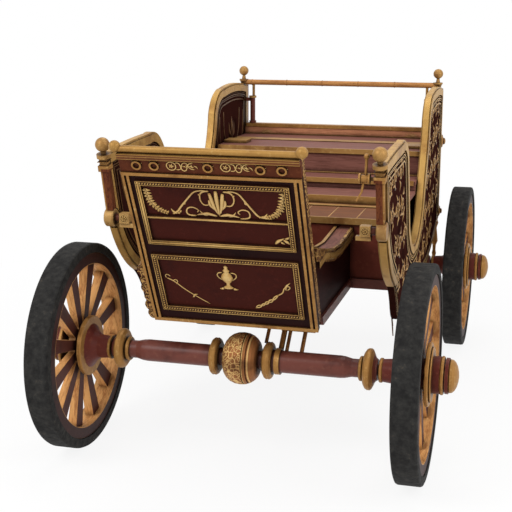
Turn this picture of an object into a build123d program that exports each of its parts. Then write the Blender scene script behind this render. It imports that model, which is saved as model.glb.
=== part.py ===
from build123d import *
import math
import os

os.makedirs("parts", exist_ok=True)

# Driving sizes in millimetres.
# The carriage faces -Y. Inside this file y = 0 is the front axle and z = 0 is the ground.
WHEEL_R = 460.0
WHEEL_BASE = 1965.0
WHEEL_X = 757.0
TYRE_W = 107.0
TYRE_DEPTH = 42.0
TYRE_ROUND = 9.0
FELLOE_W = 97.0
FELLOE_DEPTH = 50.0
FELLOE_IN_R = WHEEL_R - TYRE_DEPTH - FELLOE_DEPTH
SPOKES = 12
SPOKE_HUB_W = 38.0
SPOKE_RIM_W = 70.0
SPOKE_HUB_D = 28.0
SPOKE_RIM_D = 42.0
HUB_CORE_R = 66.0
FLANGE_R = 134.0
CAP_R = 70.0
CAP_REACH = 114.0
SPINDLE_R = 24.0
RUN_FIT = 0.06
SEAT_GAP = 0.3
HUB_CLEAR = 7.0
AXLE_END_X = 590.0
SPINDLE_END_X = 862.0

CAP_PROFILE = (
    # share of the rise, share of the radius of the domed cap
    (0.0, 0.97),
    (0.12, 1.0),
    (0.38, 0.97),
    (0.62, 0.84),
    (0.82, 0.62),
    (0.95, 0.33),
    (1.0, 0.10),
)

# Axle beam sizes
BEAM_R = 48.0
BEAM_SEAT_R = 39.0
BALL_R = 113.0
BALL_HALF_W = 77.0
BALL_EDGE_R = 46.0

# Fore-carriage sizes: the king pin stands behind the axle, under the footwell
PIN_Y = 160.0
PIN_R = 16.0
PLATE_Z = 592.0
PLATE_T = 16.0
PLATE_R = 235.0
PLATE_FRONT_Y = 92.0
BOLSTER_R = 105.0
BOLSTER_GAP = 7.0

# Leaning front panel: its front face rises from the bottom edge and leans forward
PANEL_FOOT_Y = -107.0
PANEL_FOOT_Z = 641.0
PANEL_LEAN = 26.57
PANEL_LEN = 864.0
PANEL_HALF_W = 356.0
PANEL_T = 24.0
CHEEK_DEPTH = 62.0
CHEEK_T = 26.0
STRIP_T = 7.0
STRIP_W = 11.0
TOP_RAIL_R = 14.0
RAIL_BALL_R = 23.0
RAIL_BALL_S = PANEL_LEN + 11.0
FRIEZE_H = 82.0
FRIEZE_STRIP_W = 14.0
FRIEZE_S = PANEL_LEN - TOP_RAIL_R - FRIEZE_H
FRAME_EDGE = 50.0

# Body
FLOOR_Z = 650.0
BOARD_T = 20.0
BOX_HALF_W = PANEL_HALF_W - 5.0
LEDGE_W = 75.0
RISER_Y = 620.0
SEAT_Z = 975.0
SIDE_IN_X = 578.0
SIDE_T = 26.0
MOULD_W = 46.0
MOULD_PROUD = 9.0
MOULD_STEP = 11.0
STEP_PROUD = 2.0
SEAT_HALF_W = SIDE_IN_X - MOULD_PROUD
REAR_Y = 2139.0
STILE_D = 26.0
STILE_FOOT = 700.0
STILE_W = 34.0
RAIL_R = 15.5
REAR_RAIL_Z = 1490.0
BACK_RAIL_H = 20.0

# The origin is the middle of the footprint: half way between the top rail and the rear tyres
lean = math.radians(PANEL_LEAN)
TOP_RAIL_REACH = RAIL_BALL_S * math.sin(lean) - PANEL_FOOT_Y - PANEL_T / 2.0 * math.cos(lean) + RAIL_BALL_R
SHIFT_Y = (TOP_RAIL_REACH - WHEEL_BASE - WHEEL_R) / 2.0


def save(name, *pieces):
    """Write one node, moved from the axle-based frame into the frame of the row."""
    moved = [Pos(0, SHIFT_Y, 0) * p for p in pieces]
    solids = []
    for m in moved:
        solids.extend(m.solids())
    shape = Compound(children=solids) if len(solids) > 1 else solids[0]
    shape.label = name
    export_step(shape, os.path.join("parts", name + ".step"))
    print(name, len(solids), round(sum(s.volume for s in solids) / 1e6, 3), "litres")


def box(x0, x1, y0, y1, z0, z1):
    """A box from its two corners."""
    mid = Pos((x0 + x1) / 2.0, (y0 + y1) / 2.0, (z0 + z1) / 2.0)
    return mid * Box(x1 - x0, y1 - y0, z1 - z0)


def turned(profile, y, z):
    """Turn a closed outline of (x, r) points about the line through y, z along X."""
    face = make_face(Plane.XZ * Polyline(*profile, close=True))
    return Pos(0, y, z) * revolve(face, Axis.X, 360)


def round_ball(radius, steps=10):
    """A ball round its own origin, turned from short straight lines about X."""
    points = []
    for i in range(steps + 1):
        angle = math.pi * i / steps
        points.append((-radius * math.cos(angle), radius * math.sin(angle)))
    return turned(points, 0.0, 0.0)


def ring(x0, x1, r_in, r_out, y, z, soft=0.0):
    """A ring about a line along X, with softened outer edges."""
    c = soft
    profile = [(x0, r_in), (x0, r_out - c), (x0 + c, r_out), (x1 - c, r_out), (x1, r_out - c), (x1, r_in)]
    if c == 0.0:
        profile = [(x0, r_in), (x0, r_out), (x1, r_out), (x1, r_in)]
    return turned(profile, y, z)


def mirrored(piece):
    """The same piece on the other side of the centre plane."""
    return mirror(piece, about=Plane.YZ)


def rod(p, q, r):
    """A round bar between two points."""
    a = Vector(*p)
    b = Vector(*q)
    d = b - a
    base = Plane(origin=a, z_dir=d)
    return base * Pos(0, 0, d.length / 2.0) * Cylinder(r, d.length)


# Wheels
def wheel(side, y, tag):
    """One wheel on the axle line at y. side is +1 for +X and -1 for -X."""
    z = WHEEL_R
    half = TYRE_W / 2.0
    seat = WHEEL_R - TYRE_DEPTH
    c = TYRE_ROUND
    tread = [
        (WHEEL_X - half, seat),
        (WHEEL_X - half, WHEEL_R - c),
        (WHEEL_X - half + c * 0.3, WHEEL_R - c * 0.3),
        (WHEEL_X - half + c, WHEEL_R),
        (WHEEL_X + half - c, WHEEL_R),
        (WHEEL_X + half - c * 0.3, WHEEL_R - c * 0.3),
        (WHEEL_X + half, WHEEL_R - c),
        (WHEEL_X + half, seat),
    ]
    tyre = turned(tread, y, z)
    f = FELLOE_W / 2.0
    felloe = ring(WHEEL_X - f, WHEEL_X + f, FELLOE_IN_R, seat - SEAT_GAP, y, z, 2.0)

    inner_end = AXLE_END_X + HUB_CLEAR
    flange_in = WHEEL_X - 56.0
    flange_out = WHEEL_X + 36.0
    step_out = flange_out + 17.0
    barrel_out = step_out + 9.0
    ring_out = barrel_out + 31.0
    groove_out = ring_out + 15.0
    red_out = groove_out + 6.0
    cap_in = red_out + 14.0
    core = [
        (inner_end, SPINDLE_R + RUN_FIT),
        (inner_end, 40.0),
        (inner_end + 15.0, 40.0),
        (inner_end + 15.0, 48.0),
        (inner_end + 62.0, 53.0),
        (inner_end + 84.0, 70.0),
        (flange_in, 98.0),
        (flange_in, HUB_CORE_R),
        (barrel_out, HUB_CORE_R),
        (barrel_out, 78.0),
        (ring_out, 78.0),
        (ring_out, 68.0),
        (red_out, 68.0),
        (red_out, 75.0),
        (cap_in, 75.0),
        (cap_in, 0.0),
        (SPINDLE_END_X + HUB_CLEAR, 0.0),
        (SPINDLE_END_X + HUB_CLEAR, SPINDLE_R + RUN_FIT),
    ]
    hub = turned(core, y, z)
    seat_r = HUB_CORE_R + SEAT_GAP
    trims = [
        ring(inner_end, inner_end + 14.7, 40.0 + SEAT_GAP, 52.0, y, z, 3.0),
        ring(flange_in + SEAT_GAP, flange_in + 21.0, seat_r, FLANGE_R, y, z, 4.0),
        ring(flange_out, step_out, seat_r, FLANGE_R, y, z, 4.0),
        ring(step_out, barrel_out - SEAT_GAP, seat_r, FLANGE_R - 18.0, y, z, 3.0),
        ring(ring_out + SEAT_GAP, groove_out, 68.0 + SEAT_GAP, 81.0, y, z, 4.0),
    ]
    tip = WHEEL_X + TYRE_W / 2.0 + CAP_REACH
    rise = tip - cap_in
    dome = [(cap_in + rise * a, CAP_R * b) for a, b in CAP_PROFILE]
    trims.append(turned([(cap_in, 0.0)] + dome + [(tip, 0.0)], y, z))

    bars = []
    r0 = HUB_CORE_R - 10.0
    r1 = FELLOE_IN_R + 10.0
    low = Pos(0, 0, r0) * Rectangle(SPOKE_HUB_D, SPOKE_HUB_W)
    high = Pos(0, 0, r1) * Rectangle(SPOKE_RIM_D, SPOKE_RIM_W)
    blank = loft([low, high], ruled=True)
    keep_out = Rot(0, 90, 0) * Cylinder(FELLOE_IN_R - SEAT_GAP, 200.0)
    keep_in = Rot(0, 90, 0) * Cylinder(seat_r, 200.0)
    bar = (blank & keep_out) - keep_in
    for i in range(SPOKES):
        bars.append(Pos(WHEEL_X, y, z) * Rot((i + 0.5) * 360.0 / SPOKES, 0, 0) * bar)
    web = ring(WHEEL_X - 15.0, WHEEL_X + 15.0, seat_r, seat_r + 36.0, y, z)
    spider = bars[0]
    for b in bars[1:]:
        spider = spider + b
    spider = spider + web

    pieces = {"tyre": [tyre], "felloe": [felloe], "spokes": [spider], "hub": [hub], "hub_trim": trims}
    for key, solids in pieces.items():
        if side < 0:
            solids = [mirrored(s) for s in solids]
        save(key + "_" + tag, *solids)


WHEELS = (
    # side, y, name ending
    (1, 0.0, "front_left"),
    (-1, 0.0, "front_right"),
    (1, WHEEL_BASE, "rear_left"),
    (-1, WHEEL_BASE, "rear_right"),
)
for side, y, tag in WHEELS:
    wheel(side, y, tag)

# Axles
END_PROFILE = (
    # x, r of the turned end shared by both axles
    (432.0, BEAM_R),
    (452.0, BEAM_R - 2.0),
    (480.0, BEAM_SEAT_R),
    (574.0, BEAM_SEAT_R),
    (574.0, 62.0),
    (583.0, 49.0),
    (AXLE_END_X, 45.0),
    (AXLE_END_X, SPINDLE_R),
    (SPINDLE_END_X, SPINDLE_R),
    (SPINDLE_END_X, 0.0),
)


def beam(middle, y):
    """A turned axle beam, the same on both sides of the centre."""
    half = list(middle) + list(END_PROFILE)
    other = [(-x, r) for x, r in reversed(half)]
    profile = other + half[:]
    clean = []
    for p in profile:
        if not clean or clean[-1] != p:
            clean.append(p)
    return turned(clean, y, WHEEL_R)


def end_collars(y):
    """Gilded rings on the two ends of an axle."""
    r_in = BEAM_SEAT_R + SEAT_GAP
    out = []
    for s in (1, -1):
        small = ring(512.0, 528.0, r_in, 53.0, y, WHEEL_R, 4.0)
        big = turned(
            [(532.0, r_in), (532.0, 70.0), (541.0, 84.0), (549.0, 88.0), (560.0, 88.0), (565.0, 84.0),
             (573.7, 66.0), (573.7, r_in)],
            y,
            WHEEL_R,
        )
        for piece in (small, big):
            out.append(piece if s > 0 else mirrored(piece))
    return out


front_middle = ((0.0, BEAM_SEAT_R), (138.0, BEAM_SEAT_R), (138.0, BEAM_R))
save("front_axle_beam", beam(front_middle, 0.0))
save("rear_axle_beam", beam(((0.0, BEAM_R),), WHEEL_BASE))
save("rear_axle_collars", *end_collars(WHEEL_BASE))

inner_collars = []
for s in (1, -1):
    piece = turned(
        [(97.0, BEAM_SEAT_R + SEAT_GAP), (97.0, 62.0), (106.0, 77.0), (113.0, 81.0), (119.0, 79.0),
         (125.0, 81.0), (132.0, 76.0), (137.7, 62.0), (137.7, BEAM_SEAT_R + SEAT_GAP)],
        0.0,
        WHEEL_R,
    )
    inner_collars.append(piece if s > 0 else mirrored(piece))
save("front_axle_collars", *(end_collars(0.0) + inner_collars))

seat_r = BEAM_SEAT_R + SEAT_GAP
BALL_PROFILE = (
    # share of the half width, share of the rise from the edge to the full radius
    (1.0, 0.0),
    (0.985, 0.22),
    (0.90, 0.48),
    (0.76, 0.68),
    (0.56, 0.85),
    (0.30, 0.965),
    (0.0, 1.0),
)
rise = BALL_R - BALL_EDGE_R
ball_half = [(BALL_HALF_W * a, BALL_EDGE_R + rise * b) for a, b in BALL_PROFILE]
ball_line = ball_half + [(-x, r) for x, r in reversed(ball_half[:-1])]
ball = turned([(BALL_HALF_W, seat_r)] + ball_line + [(-BALL_HALF_W, seat_r)], 0.0, WHEEL_R)
BALL_GROOVES = (
    # x, radius at the bottom of the groove
    (20.0, BALL_R - 6.0),
    (38.0, BALL_R - 12.0),
)
for gx, gr in BALL_GROOVES:
    ball = ball - ring(gx - 2.5, gx + 2.5, gr, BALL_R + 5.0, 0.0, WHEEL_R)
save("axle_ball", ball)

# Fore-carriage: plate, king pin and the struts down to the axle
plate = Pos(0, PIN_Y, PLATE_Z + PLATE_T / 2.0) * Cylinder(PLATE_R, PLATE_T)
plate = plate & box(-300, 310, PLATE_FRONT_Y, PIN_Y + PLATE_R + 5, PLATE_Z - 1, PLATE_Z + PLATE_T + 1)
plate = plate + box(0, 300, PLATE_FRONT_Y, PLATE_FRONT_Y + 60.0, PLATE_Z, PLATE_Z + PLATE_T)
save("wheel_plate", plate)

pin_top = FLOOR_Z - 6.0
pin = Pos(0, PIN_Y, (PLATE_Z + PLATE_T + pin_top) / 2.0) * Cylinder(PIN_R, pin_top - PLATE_Z - PLATE_T)
thrust_top = PLATE_Z + PLATE_T + BOLSTER_GAP - SEAT_GAP
thrust = Pos(0, PIN_Y, (PLATE_Z + PLATE_T + thrust_top) / 2.0) * Cylinder(32.0, thrust_top - PLATE_Z - PLATE_T)
save("king_pin", pin + thrust)

bolster_z = PLATE_Z + PLATE_T + BOLSTER_GAP
bolster = Pos(0, PIN_Y, (bolster_z + FLOOR_Z) / 2.0) * Cylinder(BOLSTER_R, FLOOR_Z - bolster_z)
bolster = bolster - Pos(0, PIN_Y, FLOOR_Z - 20.0) * Cylinder(PIN_R + RUN_FIT, 100.0)
save("bolster", bolster)

STRUTS = (
    # x at the axle, x at the plate, radius
    (88.0, 96.0, 8.0),
    (160.0, 166.0, 12.0),
    (186.0, 192.0, 8.0),
    (252.0, 258.0, 9.0),
)
strut_foot_z = WHEEL_R + 34.0
foot_y = 38.0
bars = []
beam_keep = Pos(0, 0, WHEEL_R) * Rot(0, 90, 0) * Cylinder(BEAM_R + SEAT_GAP, 1000.0)
collar_keep = Pos(0, 0, WHEEL_R) * Rot(0, 90, 0) * Cylinder(82.0, 2.0 * 138.0)
for x0, x1, r in STRUTS:
    bar = rod((x0, foot_y - 22.0, strut_foot_z - 22.0), (x1, PLATE_FRONT_Y + 22.0, PLATE_Z + 6.0), r)
    bar = bar - beam_keep
    bar = bar - collar_keep
    bar = bar & box(0, 400, -200, 400, 0, PLATE_Z)
    bars.extend(bar.solids())
save("struts", *bars)

boss = Pos(226.0, PLATE_FRONT_Y + 36.0, PLATE_Z - 13.0) * Cylinder(22.0, 26.0)
strut_plate = box(150, 300, PLATE_FRONT_Y, PLATE_FRONT_Y + 12.0, PLATE_Z - 22.0, PLATE_Z)
strut_plate = strut_plate + boss
for b in bars:
    strut_plate = strut_plate - b
clip = ring(150.0, 172.0, BEAM_R + SEAT_GAP, BEAM_R + 9.0, 0.0, WHEEL_R)
for b in bars:
    clip = clip - b
save("strut_fittings", strut_plate, clip)

# Leaning front panel: local x across, local y up the slope, local z out of the front face
lean = PANEL_LEAN
PANEL = Plane(
    origin=(0, PANEL_FOOT_Y, PANEL_FOOT_Z),
    x_dir=(1, 0, 0),
    z_dir=Vector(0, -1, 0).rotate(Axis.X, lean),
)


def on_panel(x0, x1, s0, s1, n0, n1):
    """A box in the panel's own frame: across, up the slope, out of the face."""
    return PANEL * box(x0, x1, s0, s1, n0, n1)


back_face = -PANEL_T
save("front_panel", on_panel(-PANEL_HALF_W, PANEL_HALF_W, 0, PANEL_LEN - TOP_RAIL_R, back_face, 0))
behind_board = on_panel(-900, 900, -400, PANEL_LEN + 300, -1200, back_face)

cheek_in = PANEL_HALF_W - CHEEK_T
cheeks = [on_panel(cheek_in, PANEL_HALF_W, 20, PANEL_LEN - 40.0, -CHEEK_DEPTH, back_face)]
FOOT_STRIP_W = 17.0
strip_top = FRIEZE_S - FRIEZE_STRIP_W
strip_gap = 2.0 * STRIP_W - 2.0
STRIPS = (
    # x0, x1, s0, s1 of the gilded strips on the panel
    (-PANEL_HALF_W, PANEL_HALF_W, 0.0, FOOT_STRIP_W),
    (-PANEL_HALF_W, PANEL_HALF_W, strip_top, FRIEZE_S),
    (PANEL_HALF_W - STRIP_W, PANEL_HALF_W, FOOT_STRIP_W, strip_top),
    (PANEL_HALF_W - strip_gap - STRIP_W, PANEL_HALF_W - strip_gap, FOOT_STRIP_W, strip_top),
)
strips = [on_panel(a, b, c, d, 0, STRIP_T) for a, b, c, d in STRIPS]
strips.extend(mirrored(piece) for piece in strips[2:])
save("panel_strips", *strips)

frame_top = strip_top - 22.0
frame_mid = frame_top * 0.54
FRAMES = (
    # half width, s0, s1, bar width of the two carved frames
    (PANEL_HALF_W - FRAME_EDGE, frame_mid + 26.0, frame_top, 22.0),
    (PANEL_HALF_W - FRAME_EDGE, FOOT_STRIP_W + FRAME_EDGE, frame_mid - 26.0, 25.0),
)
divider_half = PANEL_HALF_W - FRAME_EDGE - 22.0
divider_s = frame_mid + 26.0 + 0.39 * (frame_top - frame_mid)
frames = []
for hw, s0, s1, w in FRAMES:
    outer = on_panel(-hw, hw, s0, s1, 0, 9.0)
    inner = on_panel(-hw + w, hw - w, s0 + w, s1 - w, -5, 20)
    frames.append(outer - inner)
frames[0] = frames[0] + on_panel(-divider_half, divider_half, divider_s, divider_s + 14.0, 0, 8.0)
save("panel_frames", *frames)

FRIEZE_MOTIFS = (
    # place as a share of the panel's half width, ring radius
    (-0.80, 20.0),
    (-0.60, 20.0),
    (0.0, 20.0),
    (0.57, 20.0),
    (0.80, 20.0),
)
motifs = []
frieze_mid = FRIEZE_S + 34.0
for share, r in FRIEZE_MOTIFS:
    x = share * PANEL_HALF_W
    motifs.append(PANEL * Pos(x, frieze_mid, 3.5) * (Cylinder(r, 7.0) - Cylinder(r - 7.0, 9.0)))
save("frieze_rings", *motifs)

rail_y = PANEL_LEN
rail = PANEL * Pos(0, rail_y, -PANEL_T / 2.0) * Rot(0, 90, 0) * Cylinder(TOP_RAIL_R, 2 * PANEL_HALF_W)
moulding_top = PANEL_LEN - TOP_RAIL_R
under_rail = on_panel(-PANEL_HALF_W, PANEL_HALF_W, moulding_top - 19.0, moulding_top + 4.0, 0, 11.0)
top_rail = rail + under_rail
for s in (1, -1):
    at = Pos(s * (PANEL_HALF_W + 8.0), RAIL_BALL_S, -PANEL_T / 2.0)
    top_rail = top_rail + PANEL * at * round_ball(RAIL_BALL_R)
save("top_rail", top_rail)

LUMPS = 6
LUMP_PITCH = 47.0
chain = None
for i in range(LUMPS):
    r = 27.0 + 5.0 * (i % 2)
    at = Pos(PANEL_HALF_W + 6.0, 22.0 + i * LUMP_PITCH, -CHEEK_DEPTH / 2.0)
    one = PANEL * at * (Cylinder(r, CHEEK_DEPTH - 20.0) + Cylinder(r - 8.0, CHEEK_DEPTH))
    chain = one if chain is None else chain + one
chain = chain & on_panel(PANEL_HALF_W, PANEL_HALF_W + 80, -40, 400, -CHEEK_DEPTH, 40)
carved = cheeks[0] + chain
save("panel_cheeks", cheeks[0], mirrored(carved))

# Front box: floor, side walls with a ledge on top, and their gilded mouldings
foot_back = PANEL_FOOT_Y + 35.0
floor_half = BOX_HALF_W - LEDGE_W
floor_blank = box(-floor_half, floor_half, PANEL_FOOT_Y - 100.0, RISER_Y, FLOOR_Z, FLOOR_Z + BOARD_T)
save("floor_front", floor_blank & behind_board)

WALL_TOP = (
    # y, z of the wall's top edge
    (-205.0, 1012.0),
    (-20.0, 968.0),
    (150.0, 932.0),
    (312.0, 918.0),
    (RISER_Y, 932.0),
)


def wall_face(drop_top, drop_bottom):
    """Outline of the box wall between two depths below its top edge, in (y, z)."""
    top = [(y, z - drop_top) for y, z in WALL_TOP]
    if drop_bottom is None:
        low = [(RISER_Y, FLOOR_Z), (foot_back, FLOOR_Z)]
    else:
        low = [(y, z - drop_bottom) for y, z in reversed(WALL_TOP)]
    return top + low


def yz_plate(points, x0, x1):
    """A plate with an outline in (y, z), from x0 to x1."""
    plane = Plane(origin=(x0, 0, 0), x_dir=(0, 1, 0), z_dir=(1, 0, 0))
    return extrude(plane * make_face(Polyline(*points, close=True)), amount=x1 - x0)


behind_panel = on_panel(-900, 900, -400, 1200, -1200, -CHEEK_DEPTH - SEAT_GAP)
wall = yz_plate(wall_face(0.0, None), BOX_HALF_W - LEDGE_W, BOX_HALF_W) & behind_panel
save("box_walls", wall, mirrored(wall))
band = yz_plate(wall_face(-4.0, 52.0), BOX_HALF_W, BOX_HALF_W + 13.0) & behind_panel
save("box_moulding", band, mirrored(band))
strip = yz_plate(wall_face(-8.0, 0.0), BOX_HALF_W - LEDGE_W, BOX_HALF_W - LEDGE_W + 14.0) & behind_panel
save("ledge_strips", strip, mirrored(strip))

# Seat riser, deck, tiers and back
riser_top = SEAT_Z - 26.0
riser = box(-SIDE_IN_X, SIDE_IN_X, RISER_Y, RISER_Y + BOARD_T, FLOOR_Z - 6.0, riser_top)
save("seat_riser", riser)
save("floor_rear", box(-SIDE_IN_X, SIDE_IN_X, RISER_Y + BOARD_T, REAR_Y - BOARD_T, FLOOR_Z, FLOOR_Z + BOARD_T))

base = []
for s in (1, -1):
    side_run = box(BOX_HALF_W, BOX_HALF_W + 12.0, foot_back, RISER_Y - 12.0, FLOOR_Z, FLOOR_Z + 40.0)
    cross_run = box(BOX_HALF_W, SIDE_IN_X, RISER_Y - 12.0, RISER_Y, FLOOR_Z - 6.0, FLOOR_Z + 40.0)
    run = (side_run & behind_panel) + cross_run
    base.append(run if s > 0 else mirrored(run))
save("base_moulding", *base)

deck_back = RISER_Y + 390.0
STRIP_D = 40.0
DECK_STRIPS = (
    # y of the gilded strip let in between the seat boards
    RISER_Y + 285.0,
)
deck_ends = [RISER_Y + BOARD_T] + [y + STRIP_D for y in DECK_STRIPS]
deck_stops = list(DECK_STRIPS) + [deck_back + BOARD_T]
boards = []
for y0, y1 in zip(deck_ends, deck_stops):
    boards.append(box(-SEAT_HALF_W, SEAT_HALF_W, y0, y1, SEAT_Z - BOARD_T, SEAT_Z))
boards[0] = boards[0] + box(-SEAT_HALF_W, SEAT_HALF_W, RISER_Y, RISER_Y + BOARD_T, riser_top, SEAT_Z)
save("seat_deck", *boards)

TIERS = (
    # y of the face, z of the top
    (deck_back, SEAT_Z + 34.0),
    (deck_back + 260.0, SEAT_Z + 81.0),
    (deck_back + 480.0, SEAT_Z + 207.0),
    (REAR_Y - 62.0, SEAT_Z + 250.0),
)
rear_in = REAR_Y - BOARD_T
steps = [(deck_back, SEAT_Z)]
for y, z in TIERS:
    steps.append((y, steps[-1][1]))
    steps.append((y, z))
steps = steps[1:]
steps.append((rear_in, steps[-1][1]))
under = [(y + BOARD_T, z - BOARD_T) for y, z in steps]
under[-1] = (rear_in, under[-1][1])
under[0] = (steps[0][0] + BOARD_T, steps[0][1])
outline = steps + list(reversed(under))
tiers = yz_plate(outline, -SEAT_HALF_W, SEAT_HALF_W)
save("rear_tiers", tiers)

(tier_1_y, tier_1_z), (tier_2_y, tier_2_z), (tier_3_y, tier_3_z), (tier_4_y, tier_4_z) = TIERS
TIER_STRIPS = (
    # y, z base, height, depth of the gilded strips on the deck and the tiers
    (DECK_STRIPS[0], SEAT_Z - BOARD_T, BOARD_T + 5.0, STRIP_D),
    (tier_1_y - 14.0, SEAT_Z, tier_1_z - SEAT_Z + 4.0, 14.0),
    (tier_2_y - 14.0, tier_2_z - 20.0, 24.0, 14.0),
    (tier_2_y + 178.0, tier_2_z, 4.0, 34.0),
    (tier_3_y - 16.0, tier_3_z - 22.0, 26.0, 16.0),
    (tier_3_y + 300.0, tier_3_z, 4.0, 80.0),
    (tier_4_y - 12.0, tier_3_z, 6.0, 12.0),
)
strips = [box(-SEAT_HALF_W + 9.0, SEAT_HALF_W - 9.0, RISER_Y - 14.0, RISER_Y, riser_top, SEAT_Z + 4.0)]
for y, z, h, d in TIER_STRIPS:
    strips.append(box(-SEAT_HALF_W + 8.0, SEAT_HALF_W - 8.0, y, y + d, z, z + h))
END_BLOCK_W = 130.0
for s in (1, -1):
    x_out = s * (SEAT_HALF_W - 8.0)
    x_in = s * (SEAT_HALF_W - 8.0 - END_BLOCK_W)
    strips.append(box(min(x_in, x_out), max(x_in, x_out), tier_3_y + 110.0, tier_3_y + 215.0, tier_3_z, tier_3_z + 16.0))
save("seat_strips", *strips)
top_z = tier_4_z
rail_half = SEAT_HALF_W - 6.0
save("back_rail", box(-rail_half, rail_half, tier_4_y - 6.0, tier_4_y + 42.0, top_z, top_z + BACK_RAIL_H))
save("back_wall", box(-SEAT_HALF_W, SEAT_HALF_W, rear_in, REAR_Y, FLOOR_Z, top_z))

# Front posts lean with the wings' front edges and stand on the scroll knobs
POST_HALF = 17.0
HEAD_HALF = 24.0
KNOB_Z = 1052.0
KNOB_R = 41.0
post_x = SIDE_IN_X + SIDE_T / 2.0 - 4.0
POST_FOOT = Vector(post_x, -8.0, KNOB_Z + 34.0)
POST_HEAD = Vector(post_x, -68.0, KNOB_Z + 270.0)
post_line = POST_HEAD - POST_FOOT
post_plane = Plane(origin=POST_FOOT, x_dir=(1, 0, 0), z_dir=post_line)
post_len = post_line.length
post_front = post_plane * box(-80, 80, -240, POST_HALF, -90, post_len + 80)
scroll_block = post_plane * Pos(0, 0, post_len - 36.0) * Box(2 * HEAD_HALF, 2 * HEAD_HALF, 44.0)
head_gap = post_plane * Pos(0, 0, post_len - 24.0) * (Box(60.0, 60.0, 16.0) - Box(34.0, 34.0, 20.0))
disc_room = post_plane * Pos(0, 0, post_len + 40.0) * Cylinder(31.0 + SEAT_GAP, 80.0 + 2 * SEAT_GAP)
knob_room = Pos(post_x, 0.0, KNOB_Z) * Rot(0, 90, 0) * Cylinder(KNOB_R + SEAT_GAP, 120.0)

# Side panels with the scrolled wings
L = Line
T = ThreePointArc
outline = (
    T((-90, 1337), (200, 1358), (440, 1364))
    + T((440, 1364), (570, 1345), (640, 1280))
    + L((640, 1280), (760, 930))
    + T((760, 930), (880, 820), (1040, 792))
    + T((1040, 792), (1210, 860), (1300, 1000))
    + L((1300, 1000), (1385, 1165))
    + T((1385, 1165), (1430, 1262), (1455, 1360))
    + T((1455, 1360), (1525, 1449), (1640, 1484))
    + T((1640, 1484), (1850, 1498), (REAR_Y, 1470))
    + L((REAR_Y, 1470), (REAR_Y, 700))
    + T((REAR_Y, 700), (1860, 600), (1550, 545))
    + L((1550, 545), (520, 545))
    + T((520, 545), (440, 560), (400, 600))
    + T((400, 600), (350, 680), (270, 755))
    + T((270, 755), (105, 880), (0, 1040))
    + L((0, 1040), (-90, 1337))
)
whole = make_face(outline)
inside = offset(whole, amount=-MOULD_W, kind=Kind.ARC)
raised = offset(whole, amount=-MOULD_STEP, kind=Kind.ARC)
above = Pos(1000, 1280) * Rectangle(3000, 1060)
rim = (whole - inside) & above
crown = (raised - inside) & above
field = whole - rim
side_plane = Plane(origin=(SIDE_IN_X, 0, 0), x_dir=(0, 1, 0), z_dir=(1, 0, 0))
step_plane = Plane(origin=(SIDE_IN_X - STEP_PROUD, 0, 0), x_dir=(0, 1, 0), z_dir=(1, 0, 0))
mould_plane = Plane(origin=(SIDE_IN_X - MOULD_PROUD, 0, 0), x_dir=(0, 1, 0), z_dir=(1, 0, 0))
side_panel = extrude(side_plane * field, amount=SIDE_T) - post_front - knob_room
moulding = extrude(step_plane * rim, amount=SIDE_T + 2 * STEP_PROUD)
moulding = moulding + extrude(mould_plane * crown, amount=SIDE_T + 2 * MOULD_PROUD)
moulding = moulding - post_front - scroll_block - knob_room - disc_room
save("side_panel_left", side_panel)
save("side_panel_right", mirrored(side_panel))
save("wing_moulding_left", moulding)
save("wing_moulding_right", mirrored(moulding))

# Scroll ends: knob, short shaft and square rosette block at the front of each wing
scrolls = []
for s in (1, -1):
    y = 0.0
    z = KNOB_Z
    knob = ring(570.0, 612.0, 0.0, KNOB_R, y, z, 5.0)
    shaft = ring(546.0, 570.0, 0.0, 17.0, y, z)
    block = box(502.0, 546.0, y - 22.0, y + 22.0, z - 22.0, z + 22.0)
    lip = box(484.0, 548.0, y - 14.0, y + 16.0, z - 40.0, z - 22.0)
    piece = knob + shaft + block + lip
    scrolls.append(piece if s > 0 else mirrored(piece))
save("scroll_ends", *scrolls)

# Posts, rails and finials
posts = []
finials = []
for s in (1, -1):
    post = post_plane * Pos(0, 0, post_len / 2.0) * Box(2 * POST_HALF, 2 * POST_HALF, post_len)
    post = (post - knob_room) + (scroll_block - head_gap)
    disc = post_plane * Pos(0, 0, post_len + 8.0) * Cylinder(31.0, 16.0)
    neck = post_plane * Pos(0, 0, post_len + 22.0) * Cylinder(12.0, 16.0)
    ball_top = post_plane * Pos(0, 0, post_len + 57.0) * Sphere(31.0)
    finial = disc + neck + ball_top
    posts.append(post if s > 0 else mirrored(post))
    finials.append(finial if s > 0 else mirrored(finial))
save("front_posts", *posts)

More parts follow.
